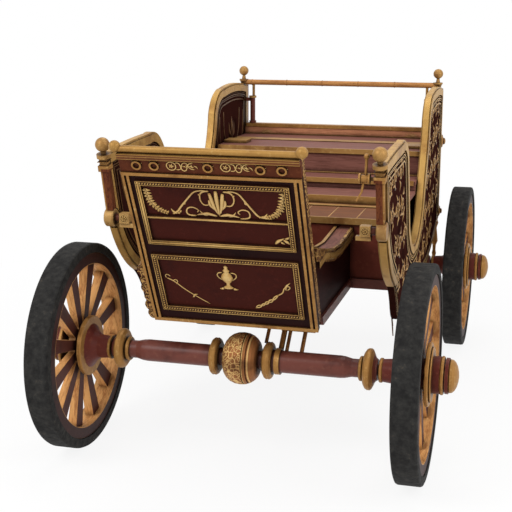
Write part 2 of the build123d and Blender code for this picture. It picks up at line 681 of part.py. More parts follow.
# Rear corners: a stile closes each wing, and a slim post with a hooked rod stands on the back rail
stile_x = SIDE_IN_X + SIDE_T / 2.0
POST_Y = tier_4_y + 18.0
SLIM_X = 528.0
SLIM_R = 15.0
CLAMP_Z = SEAT_Z + 422.0
FINIAL_X = 583.0
rear_posts = []
wing_room = extrude(mould_plane * whole, amount=SIDE_T + 2 * MOULD_PROUD)
rear_rail = Pos(0, POST_Y, REAR_RAIL_Z) * Rot(0, 90, 0) * Cylinder(RAIL_R, 2.0 * (FINIAL_X - 14.0))
for s in (1, -1):
    stile = box(stile_x - STILE_W / 2.0, stile_x + STILE_W / 2.0, REAR_Y, REAR_Y + STILE_D, STILE_FOOT, 1470.0)
    slim_foot = top_z + BACK_RAIL_H
    slim_len = CLAMP_Z - slim_foot
    slim = Pos(SLIM_X, POST_Y, slim_foot + slim_len / 2.0) * Cylinder(SLIM_R, slim_len)
    slim = slim + Pos(SLIM_X, POST_Y, slim_foot + 7.0) * Cylinder(SLIM_R + 6.0, 14.0)
    arm = box(SLIM_X, SIDE_IN_X - MOULD_PROUD, POST_Y - 9.0, POST_Y + 9.0, CLAMP_Z - 20.0, CLAMP_Z)
    stem = Pos(FINIAL_X, POST_Y, CLAMP_Z + 82.0) * Cone(10.0, 24.0, 40.0)
    for piece in (stile, slim + arm):
        rear_posts.append(piece if s > 0 else mirrored(piece))
    clamp = Pos(SLIM_X, POST_Y, CLAMP_Z + 6.0) * Cylinder(SLIM_R + 7.0, 12.0)
    hook = rod((SLIM_X - 6.0, POST_Y, CLAMP_Z + 10.0), (SLIM_X - 6.0, POST_Y, REAR_RAIL_Z - RAIL_R), 8.0)
    disc = Pos(FINIAL_X, POST_Y, CLAMP_Z + 106.0) * Cylinder(27.0, 9.0)
    neck = Pos(FINIAL_X, POST_Y, CLAMP_Z + 122.0) * Cone(13.0, 8.0, 26.0)
    top_ball = Pos(FINIAL_X, POST_Y, CLAMP_Z + 160.0) * Rot(0, 90, 0) * round_ball(28.0)
    finial = (stem + disc + neck + top_ball) - wing_room
    rear_rail = rear_rail - finial - mirrored(finial)
    for piece in (finial, clamp + hook):
        finials.append(piece if s > 0 else mirrored(piece))
save("rear_posts", *rear_posts)
save("finials", *finials)
save("rear_rail", rear_rail)

# Turned drops under the rear corners
DROP_PROFILE = (
    # depth below the corner, radius
    (0.0, 13.0),
    (12.0, 15.0),
    (28.0, 20.0),
    (44.0, 15.0),
    (60.0, 11.0),
    (110.0, 17.0),
    (140.0, 20.0),
    (165.0, 10.0),
    (195.0, 9.0),
    (215.0, 13.0),
    (240.0, 8.0),
    (262.0, 2.0),
)
drop_line = [(0.0, 0.0)] + list(DROP_PROFILE) + [(262.0, 0.0)]
drops = []
for s in (1, -1):
    drop = Rot(0, 90, 0) * turned(drop_line, 0.0, 0.0)
    drops.append(Pos(s * stile_x, REAR_Y + STILE_D / 2.0, STILE_FOOT) * drop)
save("rear_drops", *drops)

# Reel and pin on the inner side of the left front post
REEL_Z = KNOB_Z + 223.0
reel_y = POST_FOOT.Y + (POST_HEAD.Y - POST_FOOT.Y) * (REEL_Z - POST_FOOT.Z) / (POST_HEAD.Z - POST_FOOT.Z)
reel_in = post_x - HEAD_HALF
REEL = (
    # distance from the post's head to the start and to the end of each part, radius
    (0.0, 17.0, 8.0),
    (17.0, 25.0, 22.0),
    (25.0, 55.0, 16.0),
    (55.0, 63.0, 22.0),
)
lever = None
for x0, x1, r in REEL:
    part = ring(reel_in - x1, reel_in - x0, 0.0, r, reel_y, REEL_Z)
    lever = part if lever is None else lever + part
pin_x = reel_in - 36.0
tail = ((pin_x - 6.0, reel_y, REEL_Z), (pin_x - 14.0, reel_y - 4.0, REEL_Z - 54.0), (pin_x - 34.0, reel_y - 10.0, REEL_Z - 90.0))
lever = lever + rod((pin_x, reel_y, REEL_Z), (pin_x + 3.0, reel_y, REEL_Z + 80.0), 6.0)
lever = lever + Pos(pin_x + 3.0, reel_y, REEL_Z + 89.0) * round_ball(12.0, 8)
lever = lever + rod(tail[0], tail[1], 5.0) + rod(tail[1], tail[2], 4.0)
save("reel_lever", lever)

# Rear axle hangers
hangers = []
for s in (1, -1):
    x = s * 360.0
    hanger = box(x - 35.0, x + 35.0, WHEEL_BASE - 62.0, WHEEL_BASE + 62.0, WHEEL_R, FLOOR_Z)
    hanger = hanger - Pos(0, WHEEL_BASE, WHEEL_R) * Rot(0, 90, 0) * Cylinder(BEAM_R + SEAT_GAP, 2000.0)
    hangers.extend(hanger.solids())
save("rear_hangers", *hangers)
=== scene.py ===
# %% [markdown]
# A gilded carriage, finished in Blender.
# The solids of this carriage come from its CAD model, which is loaded as a fixed frame.
# This lesson adds what the solids leave out: carved ornament, aged paint, gilding, wood grain,
# a worn tyre tread, soft light and a camera. Nothing on the frame is moved.
# %% Load the frame
import math

import bmesh
import bpy
from mathutils import Matrix, Vector


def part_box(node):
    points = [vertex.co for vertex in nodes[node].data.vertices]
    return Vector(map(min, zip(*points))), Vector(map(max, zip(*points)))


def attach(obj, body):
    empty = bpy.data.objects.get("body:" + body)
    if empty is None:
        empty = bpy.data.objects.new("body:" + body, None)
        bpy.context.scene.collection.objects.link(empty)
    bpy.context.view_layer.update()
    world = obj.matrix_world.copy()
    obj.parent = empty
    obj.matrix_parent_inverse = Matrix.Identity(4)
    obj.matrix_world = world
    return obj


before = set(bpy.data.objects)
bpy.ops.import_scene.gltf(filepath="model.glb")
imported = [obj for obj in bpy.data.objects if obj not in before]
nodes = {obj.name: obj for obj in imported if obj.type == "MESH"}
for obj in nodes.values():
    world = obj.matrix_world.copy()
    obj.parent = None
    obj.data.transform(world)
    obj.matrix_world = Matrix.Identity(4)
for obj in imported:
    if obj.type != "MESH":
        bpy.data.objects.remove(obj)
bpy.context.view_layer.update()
MM = 0.001
ACROSS = Vector((1, 0, 0))
AHEAD = Vector((0, 1, 0))

# %% [markdown]
# The camera stands in front of the carriage, a little to its left and above the front panel.
# A long lens from five metres away keeps the wheels close to round. The target is the point
# in the middle of the picture, and the roll is none, so a track quaternion turns the camera.
# %% Camera
CAMERA_PLACE = Vector((1.225, -5.2582, 1.959))
CAMERA_TARGET = Vector((-0.157, -0.1572, 0.724))
LENS_MM = 76.3
SENSOR_MM = 36.0


def aimed(name, data, place, target):
    """Adds a camera or lamp that looks from a place at a target."""
    item = bpy.data.objects.new(name, data)
    item.location = place
    item.rotation_euler = (target - Vector(place)).to_track_quat("-Z", "Y").to_euler()
    bpy.context.scene.collection.objects.link(item)
    return item


camera_data = bpy.data.cameras.new("camera")
camera_data.lens = LENS_MM
camera_data.sensor_width = SENSOR_MM
bpy.context.scene.camera = aimed("camera", camera_data, CAMERA_PLACE, CAMERA_TARGET)
print("camera distance:", round((CAMERA_TARGET - CAMERA_PLACE).length, 3))

# %% [markdown]
# Floor, sky and paint are all trees of shader nodes. One helper fills a node's inputs, each
# with a plain value or with a link from another node, and the others build on it.
# %% Node helpers


def fill(tree, node, inputs):
    """Sets or links a node's inputs, given by slot or name, and gives the node back."""
    for slot, value in inputs.items():
        if isinstance(value, bpy.types.NodeSocket):
            tree.links.new(value, node.inputs[slot])
        else:
            node.inputs[slot].default_value = value
    return node


def add_node(tree, kind, inputs=None):
    return fill(tree, tree.nodes.new(kind), inputs or {})


def math_node(tree, operation, *values):
    node = add_node(tree, "ShaderNodeMath", dict(enumerate(values)))
    node.operation = operation
    return node.outputs[0]


def object_place(tree):
    return add_node(tree, "ShaderNodeTexCoord").outputs["Object"]


def object_normal(tree):
    return add_node(tree, "ShaderNodeTexCoord").outputs["Normal"]


def split(tree, vector):
    return add_node(tree, "ShaderNodeSeparateXYZ", {0: vector}).outputs


def dot(tree, first, second):
    node = add_node(tree, "ShaderNodeVectorMath", {0: first, 1: second})
    node.operation = "DOT_PRODUCT"
    return node.outputs["Value"]


print("node helpers ready")

# %% [markdown]
# Most of a finish is a question of where, and a mask answers it with one or zero. A ramp rises
# between two values, a band is two ramps, and a line is what lies close to one value.
# %% Mask helpers


def ramp(tree, value, low, high, least=0.0):
    """From least at low to one at high, smooth in between."""
    reach = {"Value": value, "From Min": low, "From Max": high, "To Min": least}
    node = add_node(tree, "ShaderNodeMapRange", reach)
    node.interpolation_type = "SMOOTHSTEP"
    return node.outputs["Result"]


def inverted(tree, mask):
    return math_node(tree, "SUBTRACT", 1.0, mask)


def band(tree, value, low, high, fade):
    """One between two values, with a short fade above each."""
    return math_node(
        tree,
        "SUBTRACT",
        ramp(tree, value, low, low + fade),
        ramp(tree, value, high, high + fade),
    )


def line_at(tree, value, middle, solid, gone):
    """One within solid of the middle, zero from gone on."""
    off = math_node(tree, "ABSOLUTE", math_node(tree, "SUBTRACT", value, middle))
    return inverted(tree, ramp(tree, off, solid, gone))


def blend_colour(tree, mask, under, over):
    """Lays the colour over on the colour under where the mask is one."""
    node = tree.nodes.new("ShaderNodeMix")
    node.data_type = "RGBA"
    return fill(tree, node, {0: mask, 6: under, 7: over}).outputs[2]


def noise(tree, vector, scale, detail=4.0, rough=0.55, distortion=0.0):
    inputs = {"Vector": vector, "Scale": scale, "Detail": detail, "Roughness": rough}
    node = add_node(tree, "ShaderNodeTexNoise", inputs | {"Distortion": distortion})
    return node.outputs["Fac"]


print("mask helpers ready")

# %% [markdown]
# The studio is a pale floor in a white room. Floor and world look white to the camera and in
# reflections through Light Path, so no extra light falls on the carriage. Close to the carriage
# the floor stays partly matt and takes the shadow, and further out it fades into the white, so
# no horizon shows.
# %% Floor and sky
WHITE = (1, 1, 1, 1)
FLOOR_GREY = (0.93, 0.93, 0.93, 1)
FLOOR_SIZE = 60.0
FLOOR_SHADOW = 0.12
SHADOW_REACH = (1.9, 3.4)
WORLD_FILL = 0.64


def white_to_camera(tree):
    """A mask of the rays that should see a white studio."""
    rays = add_node(tree, "ShaderNodeLightPath").outputs
    seen = math_node(tree, "MAXIMUM", rays["Is Camera Ray"], rays["Is Glossy Ray"])
    return math_node(tree, "MAXIMUM", seen, rays["Is Transmission Ray"])


def mix_into(tree, output, mask, first, second):
    """Mixes two shaders by a mask into the output node."""
    shaders = {0: mask, 1: first.outputs[0], 2: second.outputs[0]}
    mix = add_node(tree, "ShaderNodeMixShader", shaders)
    add_node(tree, output, {"Surface": mix.outputs[0]})


def build_floor():
    shape = bmesh.new()
    bmesh.ops.create_grid(shape, x_segments=2, y_segments=2, size=FLOOR_SIZE / 2)
    mesh = bpy.data.meshes.new("floor")
    shape.to_mesh(mesh)
    shape.free()
    floor = bpy.data.objects.new("floor", mesh)
    bpy.context.scene.collection.objects.link(floor)
    material = bpy.data.materials.new("studio_floor")
    material.use_nodes = True
    tree = material.node_tree
    tree.nodes.clear()
    matt = add_node(tree, "ShaderNodeBsdfDiffuse", {"Color": FLOOR_GREY})
    glow = add_node(tree, "ShaderNodeEmission", {"Color": WHITE})
    reach = add_node(tree, "ShaderNodeVectorMath", {0: object_place(tree)})
    reach.operation = "LENGTH"
    fade = ramp(tree, reach.outputs["Value"], *SHADOW_REACH, least=1.0 - FLOOR_SHADOW)
    share = math_node(tree, "MULTIPLY", white_to_camera(tree), fade)
    mix_into(tree, "ShaderNodeOutputMaterial", share, matt, glow)
    mesh.materials.append(material)


def build_world():
    world = bpy.data.worlds.new("studio_world")
    bpy.context.scene.world = world
    world.use_nodes = True
    tree = world.node_tree
    tree.nodes.clear()
    dim = add_node(tree, "ShaderNodeBackground", {"Color": WHITE, "Strength": WORLD_FILL})
    seen = add_node(tree, "ShaderNodeBackground", {"Color": WHITE, "Strength": 1.0})
    mix_into(tree, "ShaderNodeOutputWorld", white_to_camera(tree), dim, seen)


build_floor()
build_world()
print("floor size:", FLOOR_SIZE)

# %% [markdown]
# Three large soft lamps light the carriage: a key from the front and the vehicle's right, a
# weaker one from the other side, and one from above. Large lamps keep the shadows soft.
# %% Lamps
LAMP_TARGET = Vector((0, 0, 0.6))
LAMPS = (
    # name, place, size in metres, watts
    ("key", (-3.2, -5.0, 5.2), 3.0, 200.0),
    ("side", (4.6, -2.4, 3.6), 3.0, 105.0),
    ("top", (0.0, 1.5, 6.0), 4.0, 98.0),
)
for name, place, size, watts in LAMPS:
    lamp = bpy.data.lights.new(name, "AREA")
    lamp.shape = "SQUARE"
    lamp.size = size
    lamp.energy = watts
    aimed(name, lamp, place, LAMP_TARGET)
bpy.context.scene.view_settings.view_transform = "Standard"
print("lamps:", len(LAMPS))

# %% [markdown]
# Colours are easier to judge as the eight-bit values of a colour picker, while Blender's
# shaders work in linear light. One helper turns the first into the second. Old paint is never
# one colour, so most finishes take three: the common tone, a dark one and a light one.
# %% Colours


def tone(red, green, blue):
    """A picker colour (0 to 255) as linear RGBA."""
    linear = []
    for value in (red, green, blue):
        share = value / 255
        low = share / 12.92
        high = ((share + 0.055) / 1.055) ** 2.4
        linear.append(low if share <= 0.04045 else high)
    return (*linear, 1.0)


def tones(*picked):
    return [tone(*colour) for colour in picked]


MAROONS = tones((60, 21, 14), (42, 15, 13), (76, 30, 22))
GOLDS = tones((160, 116, 62), (118, 78, 38), (204, 168, 108))
GOLD, GOLD_DARK, GOLD_LIGHT = GOLDS
# A brown for dirt and painted shade in corners, and the dark tone of engraved grounds.
SHADE_AND_GRIME = tone(38, 18, 12)
# A brown of painted shade, for the steep sides of carved gilding.
STEEP_SIDE_SHADE = tone(78, 44, 24)
RUBBED_WOOD = tone(150, 100, 66)
WOOD, WOOD_DARK = tones((220, 166, 104), (168, 112, 66))
PLUM, PLUM_DARK = tones((130, 86, 76), (104, 66, 58))
IRON, IRON_DARK, SCUFF = tones((53, 52, 50), (27, 26, 26), (84, 72, 60))
print("maroon in linear light:", [round(v, 3) for v in MAROONS[0]])

# %% [markdown]
# Every finish on an old carriage varies in the same few ways, so each way is one shader node
# group with named sockets. The name of a socket tells its kind here.
# %% Group sockets
SOCKET_KINDS = {
    "Vector": "NodeSocketVector",
    "Height": "NodeSocketFloat",
    "Mask": "NodeSocketFloat",
    "Amount": "NodeSocketFloat",
    "Scale": "NodeSocketFloat",
}


def new_group(name, inputs, outputs):
    """A node group, the sockets that lead into it and the ones that lead out."""
    group = bpy.data.node_groups.new(name, "ShaderNodeTree")
    for way, labels in (("INPUT", inputs), ("OUTPUT", outputs)):
        for label in labels:
            kind = SOCKET_KINDS.get(label, "NodeSocketColor")
            socket = group.interface.new_socket(label, in_out=way, socket_type=kind)
            if way == "INPUT" and inputs[label] is not None:
                socket.default_value = inputs[label]
    start = group.nodes.new("NodeGroupInput")
    end = group.nodes.new("NodeGroupOutput")
    return group, start.outputs, end


print("sockets that aren't colours:", sorted(SOCKET_KINDS))

# %% [markdown]
# Paint and gold fade unevenly. Large soft noise brings in the dark tone and fine noise the
# light one, and the fine noise also serves as a height for small bumps.
# %% Uneven tone
UNEVEN_TONE, start, end = new_group(
    "uneven_tone",
    {"Vector": None, "Colour": GOLD, "Dark": GOLD_DARK, "Light": GOLD_LIGHT},
    ("Colour", "Height"),
)
large = noise(UNEVEN_TONE, start["Vector"], scale=7.0, detail=3.0)
small = noise(UNEVEN_TONE, start["Vector"], scale=55.0, detail=5.0, rough=0.65)
darker = math_node(UNEVEN_TONE, "MULTIPLY", ramp(UNEVEN_TONE, large, 0.50, 0.72), 0.75)
lighter = math_node(UNEVEN_TONE, "MULTIPLY", ramp(UNEVEN_TONE, small, 0.52, 0.75), 0.6)
colour = blend_colour(UNEVEN_TONE, darker, start["Colour"], start["Dark"])
colour = blend_colour(UNEVEN_TONE, lighter, colour, start["Light"])
fill(UNEVEN_TONE, end, {"Colour": colour, "Height": small})
print("group:", UNEVEN_TONE.name)

# %% [markdown]
# Dirt and old varnish gather in the corners of carved work, and shade falls there too. Ambient
# occlusion finds them: it tells how much open space lies within a short reach. The brown it
# lays there is dirt and painted shade at once. A little noise breaks up its edge.
# %% Crevice grime and painted shade
CREVICE_REACH = 0.045
CREVICE_SHADE_AND_GRIME, start, end = new_group(
    "crevice_shade_and_grime",
    {"Vector": None, "Colour": GOLD, "Grime": SHADE_AND_GRIME, "Amount": 0.8},
    ("Colour", "Mask"),
)
# Brown where little open space lies near: dirt, and painted shade in the corners.
corners = add_node(CREVICE_SHADE_AND_GRIME, "ShaderNodeAmbientOcclusion", {"Distance": CREVICE_REACH})
corners.samples = 8
patchy = math_node(CREVICE_SHADE_AND_GRIME, "MULTIPLY", noise(CREVICE_SHADE_AND_GRIME, start["Vector"], scale=30.0), 0.25)
shut = math_node(CREVICE_SHADE_AND_GRIME, "ADD", inverted(CREVICE_SHADE_AND_GRIME, corners.outputs["AO"]), patchy)
mask = math_node(CREVICE_SHADE_AND_GRIME, "MULTIPLY", ramp(CREVICE_SHADE_AND_GRIME, shut, 0.24, 0.66), start["Amount"])
colour = blend_colour(CREVICE_SHADE_AND_GRIME, mask, start["Colour"], start["Grime"])
fill(CREVICE_SHADE_AND_GRIME, end, {"Colour": colour, "Mask": mask})
print("group:", CREVICE_SHADE_AND_GRIME.name)

# %% [markdown]
# Hands and weather rub paint off edges. A Bevel node gives the normal of a rounded copy of the
# shape, which differs from the true normal only near an edge, so their dot product finds edges.
# %% Edge wear
EDGE_ROUNDING = 0.004
EDGE_WEAR, start, end = new_group(
    "edge_wear",
    {"Vector": None, "Colour": MAROONS[0], "Worn": GOLD, "Amount": 0.7},
    ("Colour", "Mask"),
)
rounded = add_node(EDGE_WEAR, "ShaderNodeBevel", {"Radius": EDGE_ROUNDING})
rounded.samples = 4
true_normal = add_node(EDGE_WEAR, "ShaderNodeNewGeometry").outputs["True Normal"]
bend = inverted(EDGE_WEAR, dot(EDGE_WEAR, rounded.outputs["Normal"], true_normal))
patchy = noise(EDGE_WEAR, start["Vector"], scale=40.0, detail=6.0, rough=0.7)
edges = ramp(EDGE_WEAR, bend, 0.02, 0.16)
worn = math_node(EDGE_WEAR, "MULTIPLY", edges, ramp(EDGE_WEAR, patchy, 0.38, 0.60))
mask = math_node(EDGE_WEAR, "MULTIPLY", worn, start["Amount"])
colour = blend_colour(EDGE_WEAR, mask, start["Colour"], start["Worn"])
fill(EDGE_WEAR, end, {"Colour": colour, "Mask": mask})
print("group:", EDGE_WEAR.name)

# %% [markdown]
# Wood grain is noise drawn out along one axis. The group mixes broad streaks with fine ones,
# and the material that uses it stretches the coordinates first.
# %% Wood grain
GRAIN, start, end = new_group(
    "wood_grain",
    {"Vector": None, "Colour": WOOD, "Dark": WOOD_DARK},
    ("Colour", "Height"),
)
streak = noise(GRAIN, start["Vector"], scale=9.0, detail=6.0, rough=0.7, distortion=0.6)
fine = noise(GRAIN, start["Vector"], scale=40.0, detail=4.0, rough=0.7)
streak = math_node(GRAIN, "MULTIPLY", streak, 0.7)
both = math_node(GRAIN, "ADD", streak, math_node(GRAIN, "MULTIPLY", fine, 0.3))
colour = blend_colour(GRAIN, ramp(GRAIN, both, 0.44, 0.62), start["Colour"], start["Dark"])
fill(GRAIN, end, {"Colour": colour, "Height": both})
print("group:", GRAIN.name)

# %% [markdown]
# Engraved foliage covers the ball of the axle and the carved boards. The cells of a twisted
# Voronoi pattern stand for it: the rims of the cells are stems, with a curl inside each.
# %% Scrollwork
TWIST_SCALE = 30.0
TWIST_REACH = 0.016
CURL_RADIUS = 0.26
SCROLLWORK, start, end = new_group("scrollwork", {"Vector": None, "Scale": 40.0}, ("Mask",))
twist = {"Vector": start["Vector"], "Scale": TWIST_SCALE, "Detail": 1.0}
twist = add_node(SCROLLWORK, "ShaderNodeTexNoise", twist).outputs["Color"]
shift = SCROLLWORK.nodes.new("ShaderNodeVectorMath")
shift.operation = "SCALE"
fill(SCROLLWORK, shift, {0: twist, "Scale": TWIST_REACH})
bent = add_node(SCROLLWORK, "ShaderNodeVectorMath", {0: start["Vector"], 1: shift.outputs[0]})
bent.operation = "ADD"
pattern = {"Vector": bent.outputs[0], "Scale": start["Scale"]}
cells = add_node(SCROLLWORK, "ShaderNodeTexVoronoi", pattern).outputs["Distance"]
rims = SCROLLWORK.nodes.new("ShaderNodeTexVoronoi")
rims.feature = "DISTANCE_TO_EDGE"
fill(SCROLLWORK, rims, pattern)
rim = inverted(SCROLLWORK, ramp(SCROLLWORK, rims.outputs["Distance"], 0.03, 0.10))
curl = line_at(SCROLLWORK, cells, CURL_RADIUS, 0.04, 0.09)
fill(SCROLLWORK, end, {"Mask": math_node(SCROLLWORK, "MAXIMUM", rim, curl)})
print("groups:", [group.name for group in bpy.data.node_groups])

# %% [markdown]
# A finish is a material that chains those groups over the piece's own Object coordinates. All
# end with the same last coat: grime and painted shade in the corners, and a bump from some
# height.
# %% Finish helpers
FINISHES = {}


def new_finish(name, roughness, metallic=0.0, specular=0.12):
    """A new material, its tree and the coordinates that its patterns use."""
    material = bpy.data.materials.new(name)
    FINISHES[name] = material
    material.use_nodes = True
    tree = material.node_tree
    shine = {"Roughness": roughness, "Metallic": metallic, "Specular IOR Level": specular}
    fill(tree, tree.nodes["Principled BSDF"], shine)
    return material, tree, object_place(tree)


def placed(tree, group, **values):
    """Puts a group into a material and sets its inputs by name."""
    node = tree.nodes.new("ShaderNodeGroup")
    node.node_tree = group
    return fill(tree, node, values).outputs


def uneven(tree, vector, colours):
    colour, dark, light = colours
    return placed(tree, UNEVEN_TONE, Vector=vector, Colour=colour, Dark=dark, Light=light)


def grained(tree, vector, scale, colours):
    """Wood grain, drawn out along the axes with a small scale."""
    drawn = add_node(tree, "ShaderNodeMapping", {"Vector": vector, "Scale": scale}).outputs[0]
    return placed(tree, GRAIN, Vector=drawn, Colour=colours[0], Dark=colours[1])


def last_coat(material, vector, colour, height, shade_and_grime, bump, depth, rubbed=None):
    """Rubs edges if rubbed gives a colour and amount, adds corner grime and painted shade, then a
    bump.
    """
    tree = material.node_tree
    if rubbed:
        wear = {"Colour": colour, "Worn": rubbed[0], "Amount": rubbed[1]}
        colour = placed(tree, EDGE_WEAR, Vector=vector, **wear)["Colour"]
    # Corners turn brown: grime, and painted shade where less light reaches.
    coat = placed(tree, CREVICE_SHADE_AND_GRIME, Vector=vector, Colour=colour, Grime=SHADE_AND_GRIME, Amount=shade_and_grime)
    relief = {"Strength": bump, "Distance": depth, "Height": height}
    normal = add_node(tree, "ShaderNodeBump", relief).outputs["Normal"]
    surface = {"Base Color": coat["Colour"], "Normal": normal}
    fill(tree, tree.nodes["Principled BSDF"], surface)
    return material


print("finish helpers ready")

# %% [markdown]
# Two recipes cover most of the carriage. Lacquer is uneven in colour and rubbed at its edges.
# Gilding is brown in its corners, from grime and painted shade, and on carved work its steep
# sides get painted shade and its crowns a painted highlight: the dot product of the normal with
# the way the carving faces tells them apart.
# %% Lacquer and gilding
# How squarely carved gold faces out, for its painted shade and its painted highlight.
SHADED_SIDE_FACING = (0.35, 0.85)
HIGHLIGHT_CROWN_FACING = (0.88, 1.0)


def paint_finish(name, colours, roughness=0.5, wear=0.5, specular=0.05, worn=GOLD_DARK):
    material, tree, vector = new_finish(name, roughness, specular=specular)
    base = uneven(tree, vector, colours)
    coat = {"shade_and_grime": 0.6, "bump": 0.25, "depth": 0.0012, "rubbed": (worn, wear)}
    return last_coat(material, vector, base["Colour"], base["Height"], **coat)


def gilt_finish(name, colours, shade_and_grime=0.9, out=None, metallic=0.3):
    """Old gilding. out is the way a carving faces, if it is carved: steep sides get painted
    shade, crowns a painted highlight.
    """
    material, tree, vector = new_finish(name, 0.44, metallic)
    base = uneven(tree, vector, colours)
    colour = base["Colour"]
    if out is not None:
        # Painted shade on the steep sides of carved work and a painted highlight on its crowns.
        facing = math_node(tree, "ABSOLUTE", dot(tree, object_normal(tree), out))
        colour = blend_colour(tree, ramp(tree, facing, *SHADED_SIDE_FACING), STEEP_SIDE_SHADE, colour)
        crown_highlight = math_node(tree, "MULTIPLY", ramp(tree, facing, *HIGHLIGHT_CROWN_FACING), 0.45)
        colour = blend_colour(tree, crown_highlight, colour, colours[2])
    return last_coat(material, vector, colour, base["Height"], shade_and_grime, 0.4, 0.002)


print("recipes ready")

# %% [markdown]
# The front panel leans, and much of the work below is laid out on it. Its place is read from
# the CAD face: the first axis runs across, the second up the slope and the third out of it.
# Heights up the slope are then read from the corners of the nodes that lie on the panel.
# %% Place of the leaning panel


def broad_face(name, looks):
    """The place on a node's largest flat face that looks one way: across, up, out."""
    areas = {}
    spots = {}
    mesh = nodes[name].data
    for face in mesh.polygons:
        if face.normal.dot(looks) > 0.5:
            key = tuple(round(v, 3) for v in face.normal)
            areas[key] = areas.get(key, 0.0) + face.area
            spots.setdefault(key, []).extend(mesh.vertices[i].co for i in face.vertices)
    key = max(areas, key=areas.get)
    out = Vector(key).normalized()
    up = out.cross(ACROSS)
    foot = min(spot.dot(up) for spot in spots[key])
    place = Matrix((ACROSS, up, out)).transposed().to_4x4()
    place.translation = up * foot + out * spots[key][0].dot(out)
    return place


def slope_heights(name):
    """Heights up the slope, in millimetres, of the corners of a node on the panel."""
    into_panel = panel_place.inverted()
    corners = (into_panel @ vertex.co for vertex in nodes[name].data.vertices)
    return sorted({round(corner.y / MM, 1) for corner in corners})


panel_place = broad_face("front_panel", Vector((0, -1, 0)))
PANEL_UP = panel_place.col[1].to_3d()
PANEL_OUT = panel_place.col[2].to_3d()
PANEL_FOOT = panel_place.translation.dot(PANEL_UP)
frame_heights = slope_heights("panel_frames")
print("frame bars, mm up the slope:", frame_heights)

# %% [markdown]
# Each table row gives one gilding or one lacquer. The golds differ partly as painted light: they
# are bright where the gilding is carved and faces the light, and brown and dull, as painted
# shade, where it is low or inside.
# %% Gildings and lacquers
GILDINGS = (
    # name, picker colour, dark and light tone, grime and painted shade in corners, the way its
    # carving faces
    ("gilt", (160, 116, 62), (118, 78, 38), (204, 168, 108), 0.9, None),
    ("pale_gilt", (166, 126, 72), (116, 76, 40), (200, 164, 104), 0.9, None),
    ("wing_gilt", (184, 144, 80), (140, 98, 50), (208, 172, 106), 0.9, None),
    # brown_gilt, for low parts, and dim_gold, for gilding inside the wings, are darkened as
    # painted shade.
    ("brown_gilt", (150, 100, 52), (92, 52, 28), (200, 154, 88), 0.9, None),
    ("dim_gold", (98, 68, 40), (58, 34, 24), (136, 100, 60), 1.0, None),
    ("inlay_gold", (184, 140, 92), (150, 104, 62), (214, 176, 120), 0.4, None),
    ("bright_gold", (190, 150, 88), (136, 90, 44), (226, 198, 138), 1.0, PANEL_OUT),
    ("carved_gold", (186, 146, 82), (122, 82, 38), (222, 190, 122), 1.0, PANEL_OUT),
    ("front_gold", (182, 142, 82), (130, 88, 44), (220, 190, 126), 1.0, AHEAD),
    ("side_gold", (168, 126, 74), (104, 62, 34), (208, 172, 108), 1.0, ACROSS),
    ("box_gold", (176, 136, 76), (112, 74, 34), (214, 180, 112), 1.0, ACROSS),
)
LACQUERS = (
    # name, picker colour, dark and light tone, roughness, wear, shine, colour where worn
    ("maroon_paint", (60, 21, 14), (42, 15, 13), (76, 30, 22), 0.5, 0.5, 0.05, GOLD_DARK),
    ("dark_paint", (42, 15, 13), (26, 9, 9), (60, 21, 14), 0.5, 0.5, 0.05, GOLD_DARK),
    ("axle_paint", (108, 58, 48), (74, 36, 30), (128, 80, 64), 0.34, 0.12, 0.2, GOLD_DARK),
    ("side_paint", (52, 26, 22), (32, 15, 13), (72, 38, 30), 0.75, 0.3, 0.0, GOLD_DARK),
    ("riser_paint", (112, 54, 42), (80, 36, 28), (134, 72, 54), 0.5, 0.5, 0.05, GOLD_DARK),
    ("hub_paint", (100, 46, 38), (62, 26, 22), (132, 74, 56), 0.36, 0.8, 0.1, GOLD),
)
for name, colour, dark, light, *rest in GILDINGS:
    gilt_finish(name, tones(colour, dark, light), *rest)
for name, colour, dark, light, *rest in LACQUERS:
    paint_finish(name, tones(colour, dark, light), *rest)
# A dark brown ground under the carved rope of the frames: painted shade in the gaps between its
# beads.
gilt_finish("frame_shaded_ground", tones((74, 44, 22), (50, 26, 14), (98, 62, 32)), metallic=0.0)
print("gildings:", len(GILDINGS) + 1, "lacquers:", len(LACQUERS))

# %% [markdown]
# The carved boards and the ball of the axle show gilded curls on a darker ground. The ball also
# has two plain gold rings towards its end.
# %% Engraved gold
BALL_RINGS = (0.022, 0.046)


def engraved_finish(name, ground, gold, scale, plain_rings=()):
    """Gilded curls on a ground. plain_rings is the x of two plain gold rings, if any."""
    material, tree, vector = new_finish(name, 0.5, 0.2)
    curls = placed(tree, SCROLLWORK, Vector=vector, Scale=scale)["Mask"]
    if plain_rings:
        x = split(tree, vector)["X"]
        plain = ramp(tree, x, plain_rings[0] - 0.001, plain_rings[0])
        curls = math_node(tree, "MULTIPLY", curls, inverted(tree, plain))
        for middle in plain_rings:
            ring = line_at(tree, x, middle, 0.0022, 0.0034)
            curls = math_node(tree, "MAXIMUM", curls, ring)
    base = uneven(tree, vector, (ground, SHADE_AND_GRIME, ground))
    raised = uneven(tree, vector, (gold, GOLD_DARK, GOLD_LIGHT))
    colour = blend_colour(tree, curls, base["Colour"], raised["Colour"])
    return last_coat(material, vector, colour, curls, shade_and_grime=0.8, bump=0.6, depth=0.003)


engraved_finish("ball_finish", *tones((154, 100, 58), (226, 184, 118)), 46.0, BALL_RINGS)
engraved_finish("carved_wood", *tones((78, 42, 26), (186, 144, 84)), 34.0)
print("engraved finishes ready")

